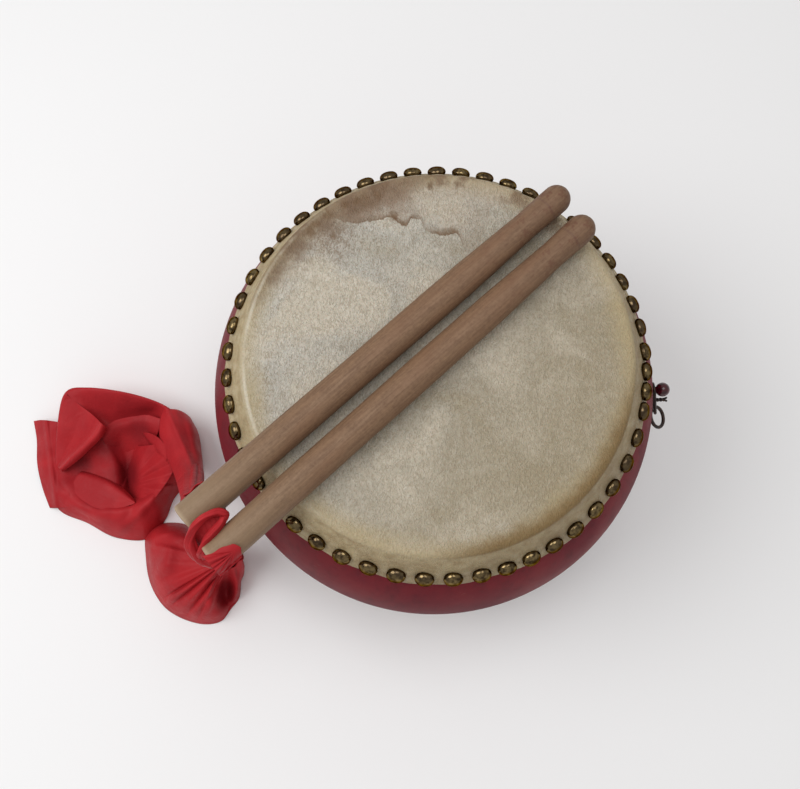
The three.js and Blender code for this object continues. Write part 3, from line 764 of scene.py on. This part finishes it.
def scarf_cloth(name):
    """Thin red cloth: fine crossed threads in its relief, faint creases, a soft sheen, and colour
    that deepens in broad clouds, with painted shade darkening it round a few spots inside the bunches."""
    material, add, put = finish_named(name, Roughness=0.45, Specular_IOR_Level=0.12, Sheen_Weight=0.02,
                                      Sheen_Roughness=0.35, Sheen_Tint=CLOTH_SHEEN)
    coordinates = add("TexCoord")
    weave = coordinates.outputs["UV"]
    where = coordinates.outputs["Object"]
    cloud = speckle(add, where, 38, 3, 0.55)
    tone = mixed(add, window(add, cloud, 0.3, 0.7), CLOTH_RED, CLOTH_DEEPER)
    # Painted shade: round each spot the colour is darkened towards a deep red, standing in for shadow inside
    # the folds.
    for spot, reach, depth in PAINTED_SHADE_SPOTS:
        away = distance_to(add, where, from_photo([spot])[0].tolist())
        tone = mixed(add, window(add, away, reach, reach * 0.2, 0, depth), tone, CLOTH_PAINTED_SHADE)
    put("Base Color", tone)
    warp, weft = (add("TexWave", {"Vector": weave, **THREADS}, bands_direction=way).outputs["Fac"]
                  for way in "XY")
    creases = speckle(add, where, 150, 4, 0.55, 0.8)
    relief = plus(add, times(add, plus(add, warp, weft), 0.002), creases)
    put("Roughness", window(add, creases, 0.3, 0.7, 0.40, 0.54))
    raised(add, put, relief, 0.35, 0.0012)
    return material


def bowl_of_cloth(spokes, rows, columns, folds):
    """A closed ring of spokes, each a row of [pixel across, pixel down, height] from its foot on the
    table, up over the rim and down to the hollow, drawn smooth both ways, then given its folds."""
    net = np.asarray(spokes, float).transpose(1, 0, 2)
    surface = soft_sheet(net, rows, columns, closed=True)
    surface[..., 2] += folds(surface[..., 0], surface[..., 1], np.linspace(0, 1, rows)[:, None])
    surface[..., 2] = np.maximum(surface[..., 2], FLOOR_CLEARANCE)
    return from_photo(surface), True


def loose_fold(rows_of_spots, rows, columns, folds=None):
    """A fold lying over the bunch: a smooth sheet through rows of [pixel across, pixel down, height]."""
    surface = soft_sheet(rows_of_spots, rows, columns)
    if folds is not None:
        surface[..., 2] += folds(surface[..., 0], surface[..., 1])
    surface[..., 2] = np.maximum(surface[..., 2], FLOOR_CLEARANCE)
    return from_photo(surface), False


def gathered_strand(route, widths, pleats, rows=60, columns=48, twist=1.2):
    """A strand of gathered cloth: a flattened ring with pleats, carried along a smooth route of
    places in mm, wide at its foot and narrow at its top, and slowly twisted."""
    middle = soft_sheet(np.asarray(route, float)[:, None, :] / 1000, rows, 1)[:, 0]
    share = np.linspace(0, 1, rows)
    width = np.interp(share, np.linspace(0, 1, len(widths)), np.asarray(widths) / 1000)
    heading = np.gradient(middle, axis=0)
    heading /= np.linalg.norm(heading, axis=1, keepdims=True)
    sideways = np.cross(heading, STRAND_FACES)
    sideways /= np.linalg.norm(sideways, axis=1, keepdims=True)
    facing = np.cross(sideways, heading)
    around = round_angles(columns)
    phase = around[None, :] * pleats + twist * 2 * np.pi * share[:, None]
    swell = 1 + 0.13 * np.sin(phase) + 0.07 * np.sin(2.3 * phase + 4 * share[:, None])
    wide = (width[:, None] * swell)[..., None] * np.cos(around)[None, :, None] * sideways[:, None, :]
    deep = (width[:, None] * 0.62 * swell)[..., None] * np.sin(around)[None, :, None] * facing[:, None, :]
    return middle[:, None, :] + wide + deep, True


def wrap_round_butt(butt, heading, from_butt, from_angle, to_angle, spread, ripple):
    """Cloth wrapped round a beater near its butt: part of a tube about the beater's line that
    stands a little off the wood, with ripples along it and a wavy edge."""
    rows, columns = 24, 60
    angle = np.radians(np.linspace(from_angle, to_angle, columns))[None, :]
    across = np.linspace(-1, 1, rows)[:, None]
    reach = from_butt + spread * across * (1 + 0.12 * np.sin(3 * angle + ripple))
    radius = CRADLE_INSIDE + WRAP_RIPPLE * (2 + np.sin(5 * across + 2 * angle + ripple))
    return by_beater(butt, heading, reach, radius * np.cos(angle), radius * np.sin(angle)), False


# The places below are in pixels across, pixels down and mm up. Each spoke of the rose goes from its foot
# up the outside to the rim, then down the inside towards the hollow, clockwise from the far left corner.
ROSE_HOLLOW = (128, 475, 1.9)
ROSE_MIDDLE = (126, 470)
ROSE_SPOKES = [
    [(76, 404, 0.5), (70, 398, 14), (66, 394, 27), (88, 418, 22), (112, 449, 14)],
    [(98, 402, 0.5), (92, 394, 15), (88, 389, 28), (103, 419, 15), (118, 446, 11)],
    [(135, 406, 0.5), (131, 399, 14), (127, 394, 27), (123, 419, 13), (126, 447, 8)],
    [(168, 414, 0.5), (165, 409, 13), (160, 404, 25), (150, 416, 12), (137, 442, 9)],
    [(190, 424, 0.5), (182, 420, 14), (170, 416, 25), (158, 430, 14), (143, 450, 4)],
    [(199, 444, 0.5), (190, 446, 14), (172, 446, 25), (157, 454, 9), (144, 463, 2)],
    [(196, 474, 0.5), (188, 470, 14), (173, 466, 24), (160, 471, 8), (147, 475, 1.5)],
    [(175, 497, 0.5), (172, 487, 14), (165, 478, 22), (156, 481, 8), (145, 483, 1.5)],
    [(165, 520, 0.5), (160, 508, 13), (151, 497, 21), (146, 491, 9), (139, 488, 2)],
    [(147, 539, 0.5), (141, 525, 14), (130, 509, 21), (129, 502, 11), (130, 495, 3)],
    [(115, 537, 0.5), (111, 525, 13), (103, 512, 19), (110, 501, 14), (121, 494, 12)],
    [(88, 523, 0.5), (86, 517, 9), (82, 507, 15), (94, 495, 12), (117, 489, 12)],
    [(58, 508, 0.5), (62, 502, 8), (68, 491, 13), (86, 482, 10), (115, 481, 13)],
    [(52, 472, 0.5), (55, 470, 9), (61, 464, 13), (84, 466, 11), (114, 472, 13)],
    [(58, 432, 0.5), (58, 430, 12), (60, 426, 20), (84, 444, 16), (113, 461, 14)],
]


def rose_folds(across, down, share):
    """A few long soft creases outside, and a ridge across the near side."""
    turned_by = np.arctan2(down - ROSE_MIDDLE[1], across - ROSE_MIDDLE[0])
    outside = ridge(share, 0.25, 0.2)
    long_ones = outside * (0.9 * np.sin(7 * turned_by + 1.0) + 0.5 * np.sin(15 * turned_by + 6 * share))
    near_ridge = outside * 2.6 * ridge((across - 121) * 0.72 + (down - 531) * 0.70, 0, 5) * (down > 485)
    return long_ones + near_ridge


hollow = np.array(ROSE_HOLLOW)
rose_net = [[*spoke, *(tuple(share * hollow + (1 - share) * np.array(spoke[-1])) for share in (0.8, 0.995))]
            for spoke in ROSE_SPOKES]
rose = bowl_of_cloth(rose_net, 80, 216, rose_folds)
# Flap folded in over the rim at the far left, ending in a rolled edge
FAR_FLAP = [
    [(66, 394, 28), (61, 408, 22), (58, 421, 16), (56, 440, 12), (58, 462, 9)],
    [(76, 402, 26), (73, 414, 22), (67, 428, 18), (60, 444, 14), (58, 465, 10)],
    [(93, 415, 26), (88, 426, 24), (80, 438, 21), (69, 451, 17), (58, 467, 13)],
    [(101, 423, 37), (96, 433, 36), (86, 444, 33), (73, 456, 29), (60, 469, 22)],
    [(107, 428, 31), (101, 438, 30), (90, 449, 27), (77, 461, 23), (62, 472, 17)],
    [(100, 427, 26), (94, 437, 25), (84, 448, 22), (72, 459, 18), (60, 470, 13)],
]
far_flap = loose_fold(FAR_FLAP, 60, 80)
# Flap lying out on the table at the left
LEFT_FLAP = [
    [(34, 421, 3), (37, 440, 2.5), (37.5, 464, 2), (42.5, 487, 1.5), (50, 508, 1)],
    [(42, 420, 9), (44, 440, 8), (44, 465, 7), (50, 487, 7), (58, 508, 5)],
    [(52, 421, 12), (52, 440, 11), (51, 468, 9), (58, 488, 11), (66, 508, 9)],
    [(64, 423, 15), (63, 442, 15), (60, 466, 11), (66, 484, 12), (74, 506, 12)],
]


def left_creases(across, down):
    """Slanting waves, and a ridge along the flap's outer side."""
    waves = 1.1 * np.sin((down - 0.4 * across) / 8) + 0.6 * np.sin(down / 4.3 + across / 11)
    return waves + 1.8 * ridge(across - 0.12 * (down - 430), 47, 2.6)


left_flap = loose_fold(LEFT_FLAP, 50, 70, left_creases)
# Petal inside, rising to a point over the hollow
INNER_PETAL = [
    [(70, 488, 12), (82, 500, 15), (96, 508, 18), (112, 510, 19), (134, 504, 19)],
    [(74, 480, 12), (88, 489, 15), (103, 496, 17.5), (118, 501, 18.5), (135, 503, 19)],
    [(79, 473, 12.5), (92, 477, 15), (107, 483, 17.5), (121, 492, 18.5), (135, 502, 18.5)],
    [(85, 470, 8), (98, 474, 9), (112, 480, 11), (124, 489, 12), (134, 499, 13)],
]
inner_petal = loose_fold(INNER_PETAL, 50, 60)
# Creases that spread from one place at the inner wall's low edge: each one's turn, width and height
WALL_CREASE_START = (126, 486)
WALL_CREASES = [(-1.05, 0.07, 1.3), (-0.84, 0.06, -1.2), (-0.62, 0.07, 1.5), (-0.45, 0.05, -1.3),
                (-0.27, 0.06, 1.4), (-0.08, 0.06, -1.0), (0.12, 0.07, 1.2), (0.32, 0.06, -0.8)]


def wall_creases(across, down):
    """Ridges along lines that spread from one place at the wall's low edge, stronger away from it."""
    turned_by = np.arctan2(down - WALL_CREASE_START[1], across - WALL_CREASE_START[0])
    return ridges(turned_by, WALL_CREASES) * np.clip((across - 136) / 12, 0, 1)


# Inner wall at the right that faces the light, its edge hanging over the hollow
LIT_WALL = [
    [(130, 446, 1), (125, 458, 0), (123, 473, 0), (125, 488, 0), (131, 500, 3)],
    [(137, 446, 9), (134, 458, 7.5), (133, 473, 7), (135, 488, 8), (138, 500, 12)],
    [(142, 446, 15.5), (141, 458, 14), (141, 473, 13.5), (142, 487, 14.5), (142, 500, 17)],
    [(151, 445, 20.5), (152, 457, 19), (153, 471, 18.5), (152, 485, 19), (148, 499, 20.5)],
    [(160, 444, 25), (164, 456, 24.5), (167, 469, 24.5), (161, 482, 24), (152, 498, 23)],
    [(165, 443, 26.5), (171, 456, 26.5), (174, 468, 26), (167, 482, 25), (156, 497, 24)],
]
lit_wall = loose_fold(LIT_WALL, 54, 76, wall_creases)
# Small lighter flap turned in at the right
SMALL_FLAP = [
    [(143, 432, 20), (152, 434, 24), (161, 440, 28), (169, 452, 29)],
    [(144, 435, 18), (151, 441, 21), (158, 448, 25), (167, 459, 27)],
    [(147, 440, 14), (152, 447, 17), (158, 454, 21), (167, 463, 24)],
]
small_flap = loose_fold(SMALL_FLAP, 30, 40)
# Lining on the far inside, from the rim down to the hollow
FAR_LINING = [
    [(100, 434, 20), (106, 427, 21), (114, 421, 21), (124, 418, 21), (136, 416, 21),
     (148, 415, 21), (164, 420, 22)],
    [(103, 440, 19), (109, 433, 21), (117, 428, 21), (126, 425, 21), (137, 423, 20),
     (148, 423, 20), (160, 428, 20)],
    [(107, 448, 14), (113, 443, 15), (120, 438, 15), (127, 436, 15), (136, 434, 15),
     (146, 434, 15), (156, 438, 16)],
    [(111, 456, 9), (116, 452, 9), (121, 449, 9), (127, 448, 9), (134, 447, 9), (142, 447, 9),
     (150, 449, 10)],
    [(117, 464, 6), (120, 462, 4), (124, 460, 3), (129, 459, 3), (134, 458, 3), (140, 458, 3), (146, 459, 5)],
]
far_lining = loose_fold(FAR_LINING, 56, 80)
# Broad smooth band down the right side, drawn together towards the butt
RIGHT_BAND = [
    [(164, 408, 24), (170, 409, 27), (178, 410, 26), (186, 414, 20), (191, 419, 12), (192, 425, 2)],
    [(160, 421, 25), (168, 421, 31), (179, 422, 32), (191, 425, 27), (198, 433, 17), (199, 441, 2)],
    [(160, 438, 26), (170, 438, 33), (182, 439, 36), (194, 441, 32), (201, 452, 22), (201, 459, 4)],
    [(167, 458, 28), (176, 458, 38), (187, 459, 43), (197, 461, 41), (203, 468, 33), (201, 474, 9)],
    [(174, 474, 40), (182, 474, 58), (191, 474, 62), (199, 475, 56), (204, 480, 42), (199, 484, 16)],
    [(178, 487, 76), (184, 487, 96), (191, 487, 100), (197, 487, 94), (201, 488, 78), (196, 491, 56)],
    [(181, 499, 132), (185, 499, 146), (190, 498, 150), (194, 497, 146), (197, 496, 134), (192, 498, 120)],
    [(184, 506, 176), (187, 506, 182), (190, 505, 184), (193, 504, 182), (195, 503, 176), (191, 503, 168)],
    [(183, 502, 194), (186, 499, 194.5), (189, 496, 194.5), (192.5, 493.5, 194.5),
     (196, 491, 194), (202, 497, 190)],
]


def band_creases(across, down):
    """Small pleats where the band narrows, a ridge along its inner side and a groove beside it."""
    pleats = 1.5 * ridge(down, 482, 9) * np.sin((across - 0.3 * down) * 0.45)
    inner_ridge = 1.6 * ridge(across - 0.45 * (down - 430), 176, 3)
    return pleats + inner_ridge - 1.2 * ridge(across - 0.3 * (down - 430), 186, 4)


right_band = loose_fold(RIGHT_BAND, 84, 56, band_creases)
# The strand's middle line in mm from the table to under the butt, and its half widths on the way
UPPER_STRAND = [(-168, -4, 10), (-163, -22, 22), (-153, -37, 47), (-143, -50, 85), (-131, -62, 135),
                (-120, -69.5, 172), (-114.4, -68.8, 189.7)]
UPPER_STRAND_WIDTHS = [8, 8, 7, 6, 5, 4.4, 4.0]
upper_strand = gathered_strand(UPPER_STRAND, UPPER_STRAND_WIDTHS, 7)
upper_wrap = wrap_round_butt(*STICKS["upper"], CRADLE_FROM_BUTT, -172, -8, 0.0055, 0.5)
scarf_red = scarf_cloth("scarf_cloth")
upper_scarf = sewn("scarf_rose", [rose, far_flap, left_flap, inner_petal, far_lining, lit_wall, small_flap,
                                  right_band, upper_strand, upper_wrap], scarf_red)
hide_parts("scarf_upper")
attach(upper_scarf, "root")

# The lower beater's scarf is the same cloth, bunched tighter. It fans out in pleats from the place
# where it is gathered, with a small loop left standing over the other beater.
FAN_GATHER = (231, 557)
FAN_HOLLOW = (225, 591)
FAN_HOLLOW_DEPTH = 15
# Pleats of the fan round its gather: each one's turn in degrees, its width and its height
FAN_PLEATS = [(31.6, 1.4, -3.0), (39.2, 1.4, -3.0), (52.6, 1.5, -3.0), (61.7, 1.5, -2.8), (35.4, 2.0, 2.2),
              (45.8, 3.2, 2.8), (57, 2.2, 2.4), (67, 2.6, 3.2), (24, 3, 1.4), (17, 4, -1.4), (7, 4, 1.5)]
# Spokes of the fan, as the rose's: each from its foot over the rim to the gather
FAN_SPOKES = [
    [(243, 567, 0.5), (243, 562, 22), (241, 558, 36), (236, 556, 38), (231, 557, 36)],
    [(241, 582, 0.5), (240, 578, 17), (237, 570, 26), (235, 562, 33), (231, 557, 35)],
    [(239, 598, 0.5), (237, 592, 14), (235, 581, 22), (232, 567, 31), (231, 557, 35)],
    [(231, 609, 0.5), (229, 603, 12), (226, 590, 18), (227, 571, 29), (231, 557, 35)],
    [(221, 621, 0.5), (217, 612, 15), (211, 594, 26), (219, 573, 33), (230, 558, 36)],
    [(204, 624, 0.5), (201, 612, 16), (202, 593, 29), (215, 572, 35), (229, 558, 36)],
    [(184, 619, 0.5), (184, 608, 16), (190, 591, 29), (209, 571, 35), (228, 558, 36)],
    [(167, 609, 0.5), (171, 600, 16), (181, 586, 28), (203, 569, 34), (226, 558, 36)],
    [(156, 595, 0.5), (163, 589, 16), (174, 579, 27), (197, 566, 33), (222, 558, 35)],
    [(149, 578, 0.5), (156, 575, 17), (168, 569, 28), (189, 562, 31), (214, 557, 34)],
    [(146, 557, 0.5), (153, 556, 17), (165, 554, 28), (183, 554, 30), (206, 555, 33)],
    [(146, 536, 0.5), (153, 539, 15), (165, 542, 25), (181, 547, 28), (203, 554, 33)],
    [(157, 525, 0.5), (161, 530, 14), (169, 536, 24), (183, 544, 28), (203, 553, 33)],
    [(177, 523, 0.5), (179, 528, 14), (182, 536, 25), (190, 545, 29), (205, 553, 33)],
    [(194, 528, 0.5), (194, 533, 16), (194, 540, 26), (199, 547, 31), (210, 553, 34)],
    [(222, 542, 0.5), (220, 545, 18), (217, 549, 29), (219, 553, 33), (224, 556, 35)],
]


def fan_folds(across, down, share):
    """Sharp pleats that spread from the gather, a hollow near the right side with a ridge beside
    it, and soft puffs at the left."""
    turned_by = np.degrees(np.arctan2(down - FAN_GATHER[1], FAN_GATHER[0] - across))
    middle = ridge(share, 0.45, 0.28)
    pleats = ridges(turned_by, FAN_PLEATS)
    from_hollow = np.abs((across - FAN_HOLLOW[0]) / 9) ** 2.6 + np.abs((down - FAN_HOLLOW[1]) / 17) ** 2.6
    hollow = -FAN_HOLLOW_DEPTH * np.exp(-from_hollow)
    beside = 4.5 * ridge((across - 210) + 0.35 * (down - 594), 0, 2.4) * ridge(down, 594, 22)
    puffs = 2.2 * np.sin(across / 5 + down / 9) * ridge(across, 165, 16) * ridge(down, 552, 22)
    puffs += 2.4 * ridge(down - 556 + 0.22 * (203 - across), 0, 2.4) * ridge(across, 180, 22)
    puffs += 1.8 * ridge(down - 535 + 0.30 * (across - 160), 0, 3.0) * ridge(across, 166, 14)
    return middle * (pleats + puffs) + hollow + beside * middle


fan = bowl_of_cloth(FAN_SPOKES, 64, 380, fan_folds)
LOWER_STRAND = [(-136, -82, 26), (-133, -85, 60), (-124, -86, 110), (-113, -87, 150), (-99.5, -89, 189.8)]
LOWER_STRAND_WIDTHS = [10, 9, 8, 6.5, 5]
lower_strand = gathered_strand(LOWER_STRAND, LOWER_STRAND_WIDTHS, 6)
lower_wrap = wrap_round_butt(*STICKS["lower"], 0.0062, -172, -70, 0.0045, 2.0)
# The loop's way in pixels and mm up, from under the butt, over the other beater and back
LOOP_WAY = [(214, 564, 188), (201, 559, 192), (192.5, 548, 198), (190, 539, 202), (194, 528, 206),
            (201, 519.5, 207.6), (209, 514.5, 207.6), (218, 512, 206), (224.5, 515, 204.6), (222, 522, 203.8),
            (214, 532, 203.4), (206.5, 541.5, 202.5), (203, 552, 198), (205, 558, 190)]
LOOP_WIDTHS = [3.0, 2.9, 2.3, 2.4, 2.1, 2.6, 2.0, 2.9, 2.4, 3.0]
loop = gathered_strand(from_photo(LOOP_WAY) * 1000, LOOP_WIDTHS, 4, rows=90, columns=36, twist=1.3)
# Collar of cloth over the near side of the butt: it starts on the wood's top, lies over its side
# with a little slack, then drops to the gather. Its places are measured along and aside from the butt.
BUTT_SPOT = np.array([211.7, 559.1])
ALONG_BUTT = np.array([0.746, -0.666])
ASIDE_BUTT = np.array([0.666, 0.746])
COLLAR_GATHER = np.array([235, 551])
COLLAR_PLEATS = [(31, 4, -0.8), (40, 4, -0.8), (53, 4, -0.8), (64, 4, -0.8), (35.5, 4, 0.6), (46, 5, 0.9),
                 (58, 5, 0.8), (22, 5, 0.7), (78, 7, 0.9), (98, 9, 0.7), (12, 4, -0.6)]


def over_butt(rows, columns):
    """Sheet over a rod: rows go aside from a slanting edge on the rod's top to past its side, at the
    rod's height plus a slack, then turn in under it; columns go along the rod. Pleats spread over
    it from one place near its far end, in line with those below."""
    share = np.linspace(0, 1, rows)[:, None]
    down_side = np.minimum(share / 0.6, 1)
    under = np.clip((share - 0.6) / 0.4, 0, 1)
    along = -5 + (34.5 - 5.5 * down_side ** 2) * np.linspace(0, 1, columns)[None, :]
    edge = -7.5 + 0.30 * (along + 5) + 0.7 * np.sin(along / 3.1) + 9 * np.clip((along - 25) / 5, 0, 1) ** 2
    aside = edge + (18.8 - edge) * down_side - 10 * under
    rod = np.sqrt(np.clip(8.2 ** 2 - (np.minimum(aside, 16.7) * 0.49) ** 2, 0, None))
    spot = BUTT_SPOT + along[..., None] * ALONG_BUTT + aside[..., None] * ASIDE_BUTT
    from_gather = spot - COLLAR_GATHER
    turned_by = np.degrees(np.arctan2(from_gather[..., 1], -from_gather[..., 0]))
    away = np.clip(np.linalg.norm(from_gather, axis=-1) / 14, 0, 1)
    slack = 0.9 + away * ridges(turned_by, COLLAR_PLEATS)
    height = 1000 * STICK_AXIS_HEIGHT + rod + np.maximum(slack, 0.25) - 15 * under ** 1.2
    return from_photo(np.concatenate([spot, height[..., None]], -1)), False


collar = over_butt(90, 70)
# Cloth inside the loop, just below its upper run
LOOP_LINING = [
    [(192, 550, 192), (191, 539, 200), (195, 528, 205.4), (202, 519, 206.3), (210, 514.5, 206),
     (220, 512.5, 204)],
    [(199, 551, 190), (198.5, 540, 198), (202, 530, 203), (208, 522, 203.6), (215, 517, 203.4),
     (222, 515, 202.6)],
    [(205, 552, 192), (207, 541, 200), (212, 532, 202), (217, 525, 202.3), (222, 519, 202.3),
     (225, 516, 202)],
]
loop_lining = loose_fold(LOOP_LINING, 30, 60,
                         lambda across, down: 0.15 * np.sin(across * 0.9 - down * 0.5) - 0.8)
lower_scarf = sewn("scarf_fan", [fan, lower_strand, lower_wrap, loop, collar, loop_lining], scarf_red)
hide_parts("scarf_lower")
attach(lower_scarf, "root")

# The strap fitting is a small knob painted dark red on a neck in the wood, a twisted loop of iron
# wire round the neck, and an iron ring hanging in the loop for the strap's hook.
KNOB_HEIGHT = 0.118
KNOB_TURN = math.radians(-1.0)
KNOB_RADIUS = 0.004
KNOB_NECK = 0.0017
KNOB_STAND_OFF = 0.0063
WIRE_RADIUS = 0.0008
LOOP_SLACK = 0.0018
TAIL_BELOW_NECK = 0.0048
TAIL_LENGTH = 0.0052
TAIL_DIP = 0.0008
PRONG_LENGTH = 0.0016
PRONG_SPREAD = 0.0017
RING_WIRE = 0.001
RING_RADIUS = 0.006
RING_LEAN = math.radians(51)
RING_HOOK = math.radians(70)
NECK_TO_HOOK = np.array([0.0033, -0.0075, -0.0129])
WIRE_COLUMNS = 14
WIRE_END = np.array([0.02, 0.55, 0.85, 0.97])
TWIST_RADIUS = 0.00055
TWIST_TURN = 9
KNOB_COLUMNS = 32
IRON_DARK = (0.045, 0.04, 0.04)
IRON_RUST = (0.10, 0.05, 0.03)
KNOB_RED = (0.07, 0.004, 0.010)
KNOB_DEEP = (0.03, 0.003, 0.006)


def wire_round(route, radius, level, closed):
    """Round wire along a route: a circle across the way on at each step, level with one direction,
    with rounded ends where the wire is open."""
    swell = np.full(len(route), radius)
    if closed:
        way = np.roll(route, -1, 0) - np.roll(route, 1, 0)
    else:
        way = np.gradient(route, axis=0)
        swell[:4] *= WIRE_END
        swell[-4:] *= WIRE_END[::-1]
    way /= np.linalg.norm(way, axis=1, keepdims=True)
    first = np.cross(way, level)
    first /= np.linalg.norm(first, axis=1, keepdims=True)
    second = np.cross(way, first)
    around = round_angles(WIRE_COLUMNS)[None, :, None]
    ring = np.cos(around) * first[:, None, :] + np.sin(around) * second[:, None, :]
    corners = (route[:, None, :] + swell[:, None, None] * ring).reshape(-1, 3)
    return corners, ring_faces(len(route), WIRE_COLUMNS, closed_rows=closed)


def joined_wires(parts):
    """Several wires' corners and faces as one."""
    starts = np.cumsum([0] + [len(corners) for corners, _ in parts[:-1]])
    return np.concatenate([corners for corners, _ in parts]), np.concatenate(
        [faces + start for (_, faces), start in zip(parts, starts)])


iron, add, put = finish_named("dark_iron", metallic=0.85, Roughness=0.45)
where = add("TexCoord").outputs["Object"]
rust = speckle(add, where, 900, 4, 0.65)
put("Base Color", mixed(add, window(add, rust, 0.45, 0.7), IRON_DARK, IRON_RUST))
put("Roughness", window(add, rust, 0.3, 0.7, 0.32, 0.6))
raised(add, put, rust, 0.4, 0.0002)

neck_radius, neck_height = off_bevel(KNOB_HEIGHT, WIRE_RADIUS + 3 * FIT_GAP)
neck = np.array([neck_radius * math.cos(KNOB_TURN), neck_radius * math.sin(KNOB_TURN), neck_height])
ring_across = np.array([math.sin(RING_LEAN), 0, -math.cos(RING_LEAN)])
hook = neck + NECK_TO_HOOK
sideways = np.array([0, 1, 0])
ring_middle = hook + RING_RADIUS * (ring_across * math.cos(RING_HOOK) - sideways * math.sin(RING_HOOK))
ring_turn = round_angles(72)[:, None]
ring_route = ring_middle + RING_RADIUS * (np.cos(ring_turn) * ring_across + np.sin(ring_turn) * sideways)
ring_corners, ring_quads = wire_round(ring_route, RING_WIRE, np.cross(ring_across, sideways), True)
ring = mesh_piece("iron_ring", ring_corners, ring_quads, iron)

down = NECK_TO_HOOK / np.linalg.norm(NECK_TO_HOOK)
reach = np.linalg.norm(NECK_TO_HOOK)
out_way = np.array([math.cos(KNOB_TURN), math.sin(KNOB_TURN), 0])
out_way = out_way - (out_way @ down) * down
out_way /= np.linalg.norm(out_way)
side_way = np.cross(out_way, down)
loop_radius = RING_WIRE + WIRE_RADIUS + LOOP_SLACK
loop_turn = 2 * np.pi * (np.arange(120)[:, None] + 0.5) / 120
far_half = np.clip(0.5 + 4 * np.sin(loop_turn), 0, 1)
wire_route = (neck + (reach * far_half + loop_radius * np.sin(loop_turn)) * down
              + loop_radius * np.cos(loop_turn) * side_way)
tail_start = neck + TAIL_BELOW_NECK * down - loop_radius * side_way
tail_end = tail_start + TAIL_LENGTH * out_way + TAIL_DIP * down
along_tail = np.linspace(0, 1, 40)[:, None]
tail_line = tail_start + along_tail * (tail_end - tail_start)
wires = [wire_round(wire_route, WIRE_RADIUS, out_way, True)]
for phase in (0.0, math.pi):
    curl = TWIST_TURN * along_tail + phase
    wires.append(wire_round(tail_line + TWIST_RADIUS * (np.cos(curl) * down + np.sin(curl) * side_way),
                            WIRE_RADIUS * 0.75, side_way + 0.3 * down, False))
prong_start = tail_end - WIRE_RADIUS * out_way
for spread in (PRONG_SPREAD, -PRONG_SPREAD):
    prong = tail_end + PRONG_LENGTH * out_way + spread * down - prong_start
    wires.append(wire_round(prong_start + np.linspace(0, 1, 16)[:, None] * prong, WIRE_RADIUS * 0.75,
                            side_way, False))
eye_corners, eye_quads = joined_wires(wires)
wire_eye = mesh_piece("wire_eye", eye_corners, eye_quads, iron)

knob_paint, add, put = finish_named("knob_paint", Roughness=0.22, Coat_Weight=0.2, Coat_Roughness=0.08)
where = add("TexCoord").outputs["Object"]
paint_cloud = window(add, speckle(add, where, 500, 3), 0.4, 0.65)
put("Base Color", mixed(add, paint_cloud, KNOB_RED, KNOB_DEEP))
raised(add, put, speckle(add, where, 700, 2), 0.2, 0.0002)
knob_rise = np.radians(np.linspace(-64, 88, 22))
knob_radii = np.concatenate([[0.0001, KNOB_NECK, KNOB_NECK], KNOB_RADIUS * np.cos(knob_rise)])
knob_levels = np.concatenate([[0, 0, 0.0015], KNOB_STAND_OFF + KNOB_RADIUS * np.sin(knob_rise)])
knob_local = spun(knob_radii, knob_levels, KNOB_COLUMNS)
knob_foot, knob_level = off_bevel(KNOB_HEIGHT, FIT_GAP)
knob_lean = float(off_bevel(KNOB_HEIGHT, FIT_GAP + 1.0)[1] - knob_level)
knob_flat = np.array([math.cos(KNOB_TURN), math.sin(KNOB_TURN), 0])
knob_out = math.sqrt(1 - knob_lean ** 2) * knob_flat + np.array([0, 0, knob_lean])
knob_side = np.array([-math.sin(KNOB_TURN), math.cos(KNOB_TURN), 0])
knob_up = np.cross(knob_out, knob_side)
knob_seat = knob_foot * knob_flat + np.array([0, 0, knob_level])
knob_corners = (knob_seat + knob_local[..., :1] * knob_side + knob_local[..., 1:2] * knob_up
                + knob_local[..., 2:] * knob_out)
knob = mesh_piece("knob", knob_corners, ring_faces(len(knob_radii), KNOB_COLUMNS), knob_paint)

for piece, node, slot in ((ring, "strap_ring", "iron"), (wire_eye, "strap_eye", "iron"),
                          (knob, "strap_stud", "knob")):
    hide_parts(node)
    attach(piece, "root")
